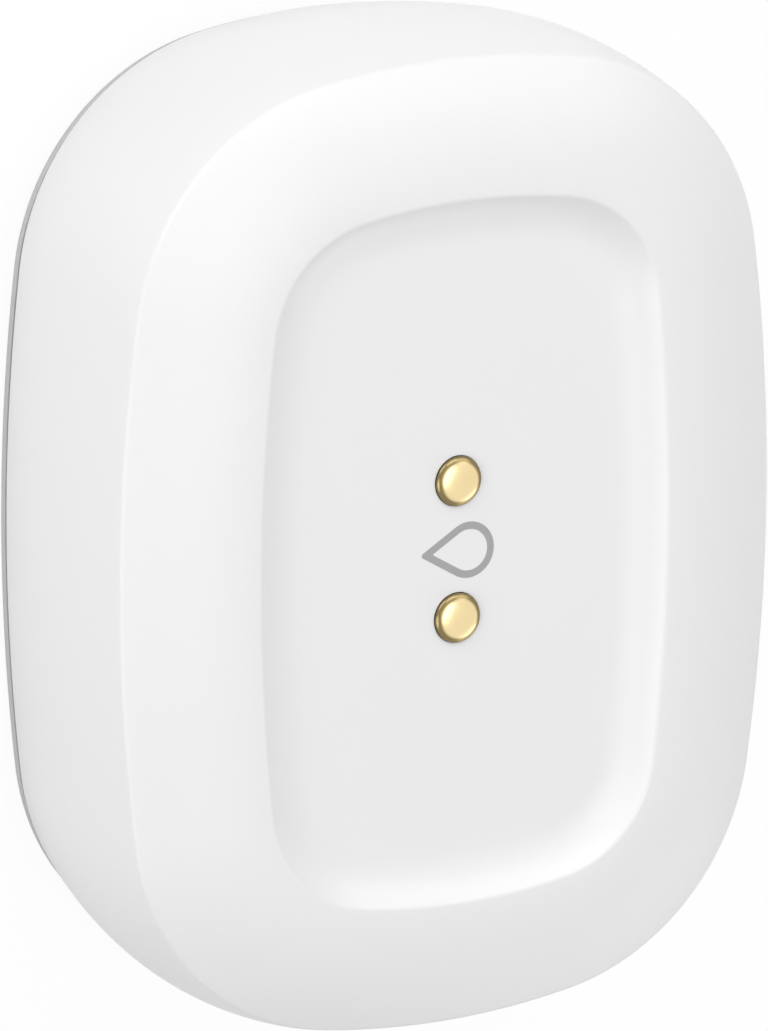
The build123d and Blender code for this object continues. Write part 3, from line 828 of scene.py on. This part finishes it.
# Loop round a drop: an arc of the round end, a straight flank, a small arc at the tip and the other flank
def dropLoop(roundRadius, tipCentreX, tipRadius):
    centreX = dropShape["centreOffset"]
    flankTurn = halfTurn / 2 + np.arcsin((roundRadius - tipRadius) / (centreX - tipCentreX))
    roundTurn = np.linspace(-flankTurn, flankTurn, dropShape["roundPoints"])
    tipTurn = np.linspace(flankTurn, 2 * halfTurn - flankTurn, dropShape["tipPoints"])
    roundArc = np.stack([centreX + roundRadius * np.cos(roundTurn), roundRadius * np.sin(roundTurn)], 1)
    tipArc = np.stack([tipCentreX + tipRadius * np.cos(tipTurn), tipRadius * np.sin(tipTurn)], 1)
    share = np.linspace(0, 1, dropShape["flankPoints"] + 2)[1:-1, None]
    down = roundArc[-1] + (tipArc[0] - roundArc[-1]) * share
    up = tipArc[-1] + (roundArc[0] - tipArc[-1]) * share
    return np.concatenate([roundArc, down, tipArc, up])


# The drop sign: a rectangle swept along the loop. The inner loop's tip is set back so far that its flanks
# lie parallel to the outer ones
def makeDropIcon():
    shape = dropShape
    (_, middleY), _, low, high = nodeSizes("drop_icon")
    tipCentreX = shape["tipRound"] - shape["tipReach"]
    outer = dropLoop(shape["roundRadius"], tipCentreX, shape["tipRound"])
    innerRadius = shape["roundRadius"] - shape["stroke"]
    reach = shape["centreOffset"] - tipCentreX
    innerReach = reach * (innerRadius - shape["innerTipRound"]) / (shape["roundRadius"] - shape["tipRound"])
    inner = dropLoop(innerRadius, shape["centreOffset"] - innerReach, shape["innerTipRound"])
    loops = [(outer, low), (outer, high), (inner, high), (inner, low), (outer, low)]
    rows = [np.column_stack([loop + (0, middleY), np.full(len(loop), level)]) for loop, level in loops]
    makePiece("drop_icon", [np.stack(rows)], "dropSign", weighted=False)


makeDropIcon()
print("dish fittings made")


baseShape = {
    "edgeRound": 0.12,
    "topRound": 0.08,
    "spigotInset": 1.45,
    "spigotInside": 2.65,
    "spigotTop": 4.3,
    "floorTop": 2.2,
    "grooveInset": 2.05,
    "grooveLevels": (2.3, 3.3),
    "notchHalf": 4.5,
    "notchDepth": 1.2,
    "notchBlend": 0.35,
    "notchPoints": 14,
    "padRadius": 3.56,
    "padSeat": 1.3,
    "padRound": 0.08,
    "seatRadius": 2.06,
    "seatTop": 1.7,
    "bossRadius": 2.7,
    "bossTop": 3.4,
    "bossBore": 0.82,
    "ribHalf": (16.45, 0.4),
    "ribLevels": (2.0, 2.8),
    "ribRound": 0.15,
    # how far rounded skins lap onto the flat faces that they join
    "skinLap": 0.6,
    "seatLap": 0.3,
    "floorLap": 1,
    # corner radii in the order of the paths: the spigot and a contact's boss, each from its root on
    "spigotRounds": (0.1, 0.04, 0.08, 0.08, 0.04, 0.2, 0.15, 0.3),
    "bossRounds": (0.3, 0.15, 0.1, 0.02, 0.05, 0.12),
}


# Columns of the plate's outline, with more of them at the sides of the notch in its -Y end
def notchColumns():
    cornerX, cornerY = cornerCentre(foot)
    span = halfTurn - 2 * np.arctan2(cornerY - foot[1] + foot[3], cornerX)
    sideTurn = np.arcsin(np.linspace(-2, 2, baseShape["notchPoints"]) * baseShape["notchBlend"] / foot[3])
    middle = np.arcsin(baseShape["notchHalf"] / foot[3])
    extra = 0.5 + np.concatenate([sideTurn - middle, sideTurn + middle]) / span
    parts = [shareOfColumn[arcOfColumn == arc] for arc in range(8)]
    parts[6] = np.sort(np.concatenate([parts[6], extra]))
    return np.repeat(np.arange(8), [len(part) for part in parts]), np.concatenate(parts)


# The plate with its notch and the seats of the feet, and the spigot with its groove. At the notch the plate's
# rows, each drawn in by its own inset, are pushed back to the notch's depth by a smooth step of abs(x)
def makeBase():
    shape = baseShape
    outside, inside, groove = shape["spigotInset"], shape["spigotInside"], shape["grooveInset"]
    (grooveLow, grooveHigh), top, floorTop = shape["grooveLevels"], shape["spigotTop"], shape["floorTop"]
    path = roundedPath([
        (shape["skinLap"], plateBottom), (0, plateBottom), (0, plateTop), (outside, plateTop),
        (outside, grooveLow), (groove, grooveLow), (groove, grooveHigh), (outside, grooveHigh),
        (outside, top), (inside, top), (inside, floorTop), (inside + shape["floorLap"], floorTop),
    ], [shape["edgeRound"], shape["topRound"], *shape["spigotRounds"]], denseArc)
    skin = insetGrid(foot, path, *notchColumns())
    x, y, level = np.moveaxis(skin, -1, 0)
    nearEdge = (level <= plateTop) & (path[:, :1] < shape["notchDepth"]) & (y < 0)
    share = np.clip(0.5 + (shape["notchHalf"] - abs(x)) / (2 * shape["notchBlend"]), 0, 1)
    share = share * share * (3 - 2 * share) * nearEdge
    skin[..., 1] = y + (shape["notchDepth"] + path[:, :1] - foot[1] - y) * share
    radius, seatLevel, lap = shape["padRadius"], shape["padSeat"], shape["seatLap"]
    padPath = [(0, seatLevel), (radius, seatLevel), (radius, plateBottom), (radius + lap, plateBottom)]
    pads = [turnedGrid(padPath, [fineRound, shape["padRound"]], place, holeColumns) for place in screwPlaces]
    boss, bore, radius = shape["bossRadius"], shape["bossBore"], shape["seatRadius"]
    seatPath = [
        (boss + shape["skinLap"], floorTop), (boss, floorTop), (boss, shape["bossTop"]),
        (bore, shape["bossTop"]), (bore, shape["seatTop"]), (radius, shape["seatTop"]),
        (radius, plateBottom), (radius + lap, plateBottom),
    ]
    seats = [turnedGrid(seatPath, shape["bossRounds"], place, holeColumns) for place in floodPlaces]
    bottom = flatFace(skin[0], [grid[-1] for grid in pads + seats], plateBottom, -1)
    floor = flatFace(skin[-1], [seat[0] for seat in seats], floorTop, 1)
    rib = closedBlock((0, cellPlace[1]), shape["ribHalf"], *shape["ribLevels"], shape["ribRound"])
    makePiece("base_cover", [skin, bottom, floor, *pads, *seats, rib], "basePlate")


makeBase()


sealShape = {
    "outer": 1.4,
    "valley": 1.56,
    "inner": 2.05,
    "low": 2.3,
    "high": 3.3,
    # corner radii of the cross-section: inner corners, foot of a lip and lips
    "innerRound": 0.08,
    "footRound": 0.05,
    "lipRound": 0.09,
}


# The ring round the spigot: a band whose outside rises into two rounded lips
def makeBaseSeal():
    shape = sealShape
    quarter = (shape["high"] - shape["low"]) / 4
    levels = shape["low"] + quarter * np.arange(5)
    insets = [shape["valley"], shape["outer"]] * 2 + [shape["valley"]]
    path = [(shape["inner"], levels[2]), (shape["inner"], levels[0]), *zip(insets, levels)]
    path += [(shape["inner"], levels[4]), (shape["inner"], levels[2])]
    side = [shape["innerRound"], shape["footRound"]]
    rounds = [*side, *[shape["lipRound"]] * 3, *side[::-1]]
    makePiece("base_seal", [insetGrid(foot, roundedPath(path, rounds))])


makeBaseSeal()


padShape = {
    "grooveRadius": 2.45,
    "grooveHalf": 0.22,
    "grooveDepth": 0.18,
    "columns": 72,
    # corner radii from the groove's inner edge out and up to the flat back
    "rounds": (0.06, 0.08, 0.08, 0.06, 0.2, 0.05),
}


# Feet: flat discs with a rounded edge and one shallow ring groove in the face that stands on the floor
def makeFeet():
    shape = padShape
    inner, outer = shape["grooveRadius"] - shape["grooveHalf"], shape["grooveRadius"] + shape["grooveHalf"]
    for number in range(1, 5):
        node = f"foot_pad_{number}"
        place, radius, low, high = nodeSizes(node)
        groove = low + shape["grooveDepth"]
        path = [(0, low), (inner, low), (inner, groove), (outer, groove), (outer, low)]
        path += [(radius, low), (radius, high), (0, high)]
        makePiece(node, [turnedGrid(path, shape["rounds"], place, shape["columns"])])


makeFeet()
print("base made")


chassisShape = {
    "inset": 1.5,
    "edgeRound": 0.15,
    "low": 4.3,
    "high": 5.5,
    "postRadius": 2.2,
    "screwBore": 1.15,
    "cellOpening": 12.65,
    "openingRound": 0.2,
    "floodPassage": 1.8,
    "buttonBore": 2.26,
    "rimLap": 0.5,
    # a post's path: laps at its root and at its bore, and its corner radii from the root on
    "postLaps": (0.6, 0.3),
    "postRounds": (0.3, 0.1, 0.1, 0.1),
}


# The frame that closes the case: a plate with openings for cell, button and flood contacts, and four posts
# that carry the board
def makeChassis():
    shape = chassisShape
    low, high = shape["low"], shape["high"]
    walls = [holeWall(cellPlace, shape["cellOpening"], low, high, shape["openingRound"])]
    walls += [holeWall(place, shape["floodPassage"], low, high) for place in floodPlaces]
    walls += [holeWall(buttonPlace, shape["buttonBore"], low, high)]
    outer, bore = shape["postRadius"], shape["screwBore"]
    rootLap, boreLap = shape["postLaps"]
    path = [(outer + rootLap, high), (outer, high), (outer, boardLow), (bore, boardLow), (bore, low)]
    path.append((bore + boreLap, low))
    walls += [turnedGrid(path, shape["postRounds"], place, holeColumns) for place in screwPlaces]
    outline = foot - shape["inset"]
    plate = plateWithHoles(outline, low, high, shape["edgeRound"], shape["rimLap"], walls)
    makePiece("chassis", plate, "chassisFrame")


makeChassis()


screwShape = {
    "headHeight": 1.2,
    "headRound": 0.35,
    "shankRadius": 1.0,
    "threadPitch": 0.45,
    "threadDepth": 0.16,
    "threadStart": 5.0,
    "runOut": 0.5,
    "threadRows": 110,
    "neckRound": 0.1,
    "columns": 48,
    "recessReach": 1.1,
    "recessHalf": 0.24,
    "recessDepth": 0.6,
    "faceRows": 30,
}


# A screw with its head down: the face is a polar grid that a cross-shaped recess raises, and the thread's
# radius is a sharp wave of the level less the turn
def makeScrews():
    shape = screwShape
    columns, shankRadius = shape["columns"], shape["shankRadius"]
    turn = fullTurn(columns)
    for number, place in enumerate(screwPlaces, start=1):
        node = f"case_screw_{number}"
        _, headRadius, low, high = nodeSizes(node)
        headTop = low + shape["headHeight"]
        reach = headRadius - shape["headRound"]
        share = np.linspace(0, 1, shape["faceRows"])[:, None]
        x, y = reach * share * np.cos(turn), reach * share * np.sin(turn)
        far, near = np.maximum(abs(x), abs(y)), np.minimum(abs(x), abs(y))
        edge = np.minimum(shape["recessReach"] - far, shape["recessHalf"] - near) / (shape["recessHalf"] / 2)
        recess = shape["recessDepth"] * np.clip(edge, 0, 1)
        face = pointGrid(place[0] + x, place[1] + y, low + recess)
        path = [(reach, low), (headRadius, low), (headRadius, headTop), (shankRadius, headTop)]
        side = turnedGrid(path, [shape["headRound"], shape["neckRound"]], place, columns)
        levels = np.linspace(headTop, high, shape["threadRows"])[:, None]
        wave = abs(2 * np.mod(levels / shape["threadPitch"] - turn / (2 * halfTurn), 1) - 1)
        runIn, runOut = levels - shape["threadStart"], (high - levels) / shape["runOut"]
        depth = shape["threadDepth"] * np.clip(runIn, 0, 1) * np.clip(runOut, 0, 1)
        shank = sweptGrid(place, shankRadius - depth * wave, turn, levels)
        tip = latheGrid([(shankRadius, high), (0, high)], place, columns)
        makePiece(node, [face, side, shank, tip])


makeScrews()
print("chassis and screws made")


boardShape = {"inset": 1.9, "rimLap": 0.3, "edgeRound": 0.05, "screwHole": 1.15, "holeRound": 0.03}


# The board: a plate inside the base's outline with its screw holes
def makeBoard():
    shape = boardShape
    bore, edgeRound = shape["screwHole"], shape["holeRound"]
    holes = [holeWall(place, bore, boardLow, boardHigh, edgeRound) for place in screwPlaces]
    outline = foot - shape["inset"]
    board = plateWithHoles(outline, boardLow, boardHigh, shape["edgeRound"], shape["rimLap"], holes)
    makePiece("circuit_board", board)


makeBoard()


holderShape = {
    "outer": 13.7,
    "bore": 12.5,
    "lip": 11.75,
    "low": 5.7,
    "lipTop": 6.2,
    "roofLow": 11.8,
    "roofBore": 5.0,
    "roofReach": 12.0,
    "windowHalf": 3.2,
    "columns": 160,
    "roofColumns": 96,
    # level of the seam in the wall's and in the roof's cross-section, and corner radii from there on
    "wallSeam": 9,
    "roofSeam": 12.2,
    "wallRounds": (0.2, 0.02, 0.02, 0.1, 0.05, 0.15, 0.15, 0.2),
    "roofRounds": (0.02, 0.15, 0.15, 0.02),
}


# The cell's holder: a wall with a lip under the cell, swept round from one side of the window to the other,
# and a roof ring that the board lies on
def makeHolder():
    shape = holderShape
    outer, bore, lip, reach = shape["outer"], shape["bore"], shape["lip"], shape["roofReach"]
    low, lipTop, roofLow = shape["low"], shape["lipTop"], shape["roofLow"]
    wall = roundedPath([
        (outer, shape["wallSeam"]), (outer, boardLow), (reach, boardLow), (reach, roofLow), (bore, roofLow),
        (bore, lipTop), (lip, lipTop), (lip, low), (outer, low), (outer, shape["wallSeam"]),
    ], shape["wallRounds"], sparseArc)[:-1]
    window = np.arcsin(shape["windowHalf"] / bore)
    turn = halfTurn / 2 + np.linspace(window, 2 * halfTurn - window, shape["columns"])
    radius, level = wall.T[:, :, None]
    skin = sweptGrid(cellPlace, radius, turn, level)
    rows, columns = skin.shape[:2]
    index = np.arange(rows * columns).reshape(rows, columns)
    following = np.roll(index, -1, 0)
    sides = np.stack([index[:, :-1], index[:, 1:], following[:, 1:], following[:, :-1]], -1).reshape(-1, 4)
    ends = [(skin[:, 0], [np.arange(rows)]), (skin[:, -1], [np.arange(rows)[::-1]])]
    roofBore, seam = shape["roofBore"], (reach, shape["roofSeam"])
    roofPath = [seam, (reach, boardLow), (roofBore, boardLow), (roofBore, roofLow), (reach, roofLow), seam]
    roof = turnedGrid(roofPath, shape["roofRounds"], cellPlace, shape["roofColumns"])
    makePiece("battery_holder", [(skin, sides), *ends, roof])


makeHolder()


cellShape = {
    "canTop": 10.7,
    "crimpReach": 11.3,
    "gasketReach": 10.7,
    "gasketDrop": 0.25,
    "capRadius": 10.4,
    "faceReach": 10.2,
    "faceStep": 0.06,
    "columns": 128,
    # corner radii from the step in the face by the can's foot, its crimp and the gasket to the cap
    "rounds": (0.1, 0.1, 0.5, 0.5, 0.3, 0.1, 0.05, 0.3),
}


# The cell: a can with a rounded foot and a shallow step in its face, a crimped top edge, the groove of the
# gasket and the smaller cap
def makeCell():
    shape = cellShape
    place, radius, low, high = nodeSizes("coin_cell")
    step, reach, top, cap = shape["faceStep"], shape["faceReach"], shape["canTop"], shape["capRadius"]
    groove = top - shape["gasketDrop"]
    path = [
        (0, low + step), (reach, low + step), (reach + 2 * step, low), (radius, low), (radius, top),
        (shape["crimpReach"], top), (shape["gasketReach"], groove), (cap, groove), (cap, high), (0, high),
    ]
    makePiece("coin_cell", [turnedGrid(path, shape["rounds"], place, shape["columns"], denseArc)])


makeCell()


stripShape = {
    "clipThickness": 0.25,
    "springThickness": 0.2,
    "springPad": 1.6,
    "fingerPad": 0.9,
    "fingerStep": 1.9,
    "fingerFoot": 2.0,
    "bend": 0.3,
    "bendPoints": 7,
}


# Strips bent from sheet: each is a path with rounded bends, given the strip's section. A finger goes from its
# root on the board by a step to the pad that touches its contact
def makeStrips():
    shape = stripShape
    count, bendRound = shape["bendPoints"], [shape["bend"]] * 2
    low, high = nodeBox("battery_positive_clip")
    half = shape["clipThickness"] / 2
    top, faceY = high[2] - half, low[1] + half
    path = roundedPath([(0, high[1], top), (0, faceY, top), (0, faceY, low[2])], bendRound[:1], count)
    clip = stripGrid(path, (1, 0, 0), high[0] - low[0], shape["clipThickness"])
    makePiece("battery_positive_clip", [clip], "positiveClip")
    low, high = nodeBox("battery_negative_spring")
    half = shape["springThickness"] / 2
    top, bottom, pad, y = high[2] - half, low[2] + half, shape["springPad"], cellPlace[1]
    path = [(low[0], y, top), (-pad - shape["springThickness"], y, top), (0, y, bottom), (pad, y, bottom)]
    spring = roundedPath(path, bendRound, count)
    spring = stripGrid(spring, (0, 1, 0), high[1] - low[1], shape["springThickness"])
    makePiece("battery_negative_spring", [spring], "negativeSpring")
    pad = shape["fingerPad"]
    step = pad + shape["fingerStep"]
    for kind, places in (("drip", dripPlaces), ("flood", floodPlaces)):
        for number, (x, y) in enumerate(places, start=1):
            node = f"{kind}_finger_{number}"
            low, high = nodeBox(node)
            side = 1 if x - low[0] < high[0] - x else -1
            bottom, top = low[2] + half, high[2] - half
            root, tip = (bottom, top) if kind == "drip" else (top, bottom)
            offsets = ((step + shape["fingerFoot"], root), (step, root), (pad, tip), (-pad, tip))
            path = roundedPath([(x + side * offset, y, level) for offset, level in offsets], bendRound, count)
            finger = stripGrid(path, (0, 1, 0), high[1] - low[1], shape["springThickness"])
            makePiece(node, [finger])


makeStrips()
print("board, cell and strips made")


buttonShape = {
    "radius": 2.2,
    "dish": 0.14,
    "faceRound": 0.25,
    "flangeLevels": (5.5, 6.3),
    "stemRadius": 1.2,
    "columns": 72,
    "faceRows": 8,
    # corner radii from the flange's underside on
    "flangeRounds": (0.05, 0.1, 0.1, 0.2, 0.1),
    "plungerRounds": (0.25, 0.1),
}


# The pairing button: a dished face, a flange behind the chassis and a stem up to the plunger, which is a rod
def makeButton():
    shape = buttonShape
    place, flange, low, high = nodeSizes("connect_button")
    share = np.linspace(0, 1, shape["faceRows"])
    radius, stem, (flangeLow, flangeHigh) = shape["radius"], shape["stemRadius"], shape["flangeLevels"]
    reach = radius - 2 * shape["faceRound"]
    face = np.stack([reach * share, low + shape["dish"] * (1 - share**2)], 1)
    side = roundedPath([
        (reach, low), (radius, low), (radius, flangeLow), (flange, flangeLow),
        (flange, flangeHigh), (stem, flangeHigh), (stem, high), (0, high),
    ], [shape["faceRound"], *shape["flangeRounds"]])
    grid = latheGrid(np.concatenate([face, side[1:]]), place, shape["columns"])
    makePiece("connect_button", [grid])
    makeRod("switch_plunger", shape["plungerRounds"], shape["columns"])


makeButton()


switchShape = {
    "boreRadius": 1.7,
    "boreTop": 10.9,
    "boreRounds": (0.05, 0.1),
    "edgeRound": 0.12,
    "cornerRadius": 0.35,
    "edgeLap": 0.5,
    "boreLap": 0.3,
    "columns": 48,
}


# The switch's body: a rounded block, open round the plunger
def makeSwitch():
    shape = switchShape
    place, half, low, high = nodeSizes("switch_body")
    path = [(shape["edgeLap"], low), (0, low), (0, high), (wholeWidth, high)]
    skin = blockGrid(place, (half, half), shape["cornerRadius"], roundedPath(path, [shape["edgeRound"]] * 2))
    radius, top = shape["boreRadius"], shape["boreTop"]
    path = [(0, top), (radius, top), (radius, low), (radius + shape["boreLap"], low)]
    bore = turnedGrid(path, shape["boreRounds"], place, shape["columns"])
    makePiece("switch_body", [skin, bore, flatFace(skin[0], [bore[-1]], low, -1)])


makeSwitch()


smallParts = {
    "pipeRounds": (0.25, 0.05),
    "pipeColumns": 48,
    "canSheet": 0.2,
    "canRounds": (0.1, 0.02, 0.02, 0.3),
    "canCorner": 0.6,
    # node: the piece's own name, if it has one, and its edge round
    "blocks": {
        "status_led": (None, 0.12),
        "microcontroller": ("controllerChip", 0.05),
        "crystal": ("crystalCan", 0.12),
        "chip_antenna": (None, 0.08),
        "temperature_sensor": (None, 0.05),
    },
    # node: the piece's own name and its distance from the middle
    "rows": {"capacitors": ("capacitorRows", 9.5), "resistors": ("resistorRows", 5.5)},
    "rowPitch": 2.0,
    "rowChips": 3,
    "chipHalf": (0.8, 0.4),
    "chipRound": 0.07,
}


# Chips are rounded blocks of their nodes' sizes, or rows of small ones. The radio can is a block open at the
# board, and the light pipe a rod
def makeSmallParts():
    shape = smallParts
    for node, (name, edgeRound) in shape["blocks"].items():
        makePiece(node, [closedBlock(*nodeBlock(node), edgeRound)], name)
    for node, (name, offset) in shape["rows"].items():
        low, high = nodeBox(node)
        rowY = low[1] + shape["chipHalf"][1] + shape["rowPitch"] * np.arange(shape["rowChips"])
        chips = [
            closedBlock((x, y), shape["chipHalf"], low[2], high[2], shape["chipRound"])
            for x in (-offset, offset)
            for y in rowY
        ]
        makePiece(node, chips, name)
    middle, half, bottom, top = nodeBlock("radio_shield")
    sheet = shape["canSheet"]
    path = [(wholeWidth, top - sheet), (sheet, top - sheet), (sheet, bottom), (0, bottom), (0, top)]
    path = roundedPath([*path, (wholeWidth, top)], shape["canRounds"])
    makePiece("radio_shield", [blockGrid(middle, half, shape["canCorner"], path)])
    makeRod("light_pipe", shape["pipeRounds"], shape["pipeColumns"])


makeSmallParts()
print("button, switch and small parts made")


# Floor, lamps, world and camera
studio = {
    "floorHalf": 1.5,
    "shadowShare": 0.06,
    "glossShadowShare": 0.85,
    "floorGrey": 0.8,
    "worldGrey": 0.2825,
    "lampAway": 0.6,
    "lampSize": 0.4,
    "lampAim": (0, 0, 0.01),
    # compass turn from +X and height above the floor in degrees, and watts
    "lamps": {
        "key": (135, 15, 0.99),
        "keyHigh": (90, 40, 0.93),
        "left": (200, 30, 1.05),
        "top": (0, 90, 0.63),
        "right": (45, 40, 0.7),
        "front": (315, 15, 0.57),
    },
}


# 1 for a ray from the camera and for one that a gloss or a clear piece sends on, 0 for one that lights
def seenRays(tree):
    path = addNode(tree, "ShaderNodeLightPath").outputs
    either = addMath(tree, "MAXIMUM", path["Is Camera Ray"], path["Is Glossy Ray"])
    return addMath(tree, "MAXIMUM", either, path["Is Transmission Ray"])


# The first shader where the share is 0, the second where it is 1
def mixShaders(tree, share, first, second):
    return addNode(tree, "ShaderNodeMixShader", {0: share, 1: first, 2: second}).outputs[0]


# The floor looks white with a faint shadow to the rays that are seen, and is a plain grey to those that
# light. In a gloss its shadow is deeper, and from below it is clear
def makeFloor():
    half = studio["floorHalf"]
    mesh = bpy.data.meshes.new("floor")
    corners = [(-half, -half, 0), (half, -half, 0), (half, half, 0), (-half, half, 0)]
    mesh.from_pydata(corners, [], [(0, 1, 2, 3)])
    material, tree = newMaterial("studioFloor")
    tree.nodes.remove(tree.nodes["Principled BSDF"])
    glossy = addNode(tree, "ShaderNodeLightPath").outputs["Is Glossy Ray"]
    change = studio["glossShadowShare"] - studio["shadowShare"]
    share = addMath(tree, "MULTIPLY_ADD", glossy, change, studio["shadowShare"])
    plain, shadowed = (
        addNode(tree, "ShaderNodeBsdfDiffuse", {"Color": (grey, grey, grey, 1)}).outputs[0]
        for grey in (studio["floorGrey"], 1)
    )
    white = addNode(tree, "ShaderNodeEmission", {"Color": (1, 1, 1, 1), "Strength": 1.0}).outputs[0]
    clear = addNode(tree, "ShaderNodeBsdfTransparent").outputs[0]
    fromBelow = addNode(tree, "ShaderNodeNewGeometry").outputs["Backfacing"]
    seen = mixShaders(tree, seenRays(tree), plain, mixShaders(tree, share, white, shadowed))
    surface = mixShaders(tree, fromBelow, seen, clear)
    feed(tree, tree.nodes["Material Output"].inputs["Surface"], surface)
    mesh.materials.append(material)
    addObject("floor", mesh)


# The world is plain white to the rays that are seen and a grey to those that light
def makeWorld():
    world = bpy.data.worlds.new("studio")
    world.use_nodes = True
    bpy.context.scene.world = world
    tree = world.node_tree
    colour = mixColours(tree, seenRays(tree), [studio["worldGrey"]] * 3, (1, 1, 1))
    feed(tree, tree.nodes["Background"].inputs["Color"], colour)
    feed(tree, tree.nodes["Background"].inputs["Strength"], 1.0)


# Each lamp is a disc on a sphere round the object, at its compass turn and height, that faces the object
def makeLamps():
    for name, (compass, height, watts) in studio["lamps"].items():
        light = bpy.data.lights.new(name, "AREA")
        light.shape, light.size, light.energy = "DISK", studio["lampSize"], watts
        holder = addObject(name, light)
        turn, rise = np.radians(compass), np.radians(height)
        way = Vector((np.cos(rise) * np.cos(turn), np.cos(rise) * np.sin(turn), np.sin(rise)))
        holder.location = studio["lampAway"] * way
        aim = Vector(studio["lampAim"]) - holder.location
        holder.rotation_euler = aim.to_track_quat("-Z", "Y").to_euler()


cameraSettings = {
    "eye": (-0.313426, 0.175333, 0.564881),
    "right": (0.871549, 0.006443, 0.490266),
    "up": (0.1247, 0.964121, -0.23435),
    "lens": 407.3,
    "sensor": 36.0,
    "clip": (0.05, 10.0),
}


# The camera fitted to the photo's angle: its own right and up ways, and the way back as their cross product
def makeCamera():
    camera = bpy.data.cameras.new("camera")
    camera.lens, camera.sensor_width = cameraSettings["lens"], cameraSettings["sensor"]
    camera.clip_start, camera.clip_end = cameraSettings["clip"]
    holder = addObject("camera", camera)
    right, up = Vector(cameraSettings["right"]), Vector(cameraSettings["up"])
    turn = Matrix((right, up, right.cross(up))).transposed()
    holder.matrix_world = Matrix.Translation(cameraSettings["eye"]) @ turn.to_4x4()
    bpy.context.scene.camera = holder


makeFloor()
makeWorld()
makeLamps()
makeCamera()
bpy.context.scene.view_settings.view_transform = "Standard"
print("studio made")
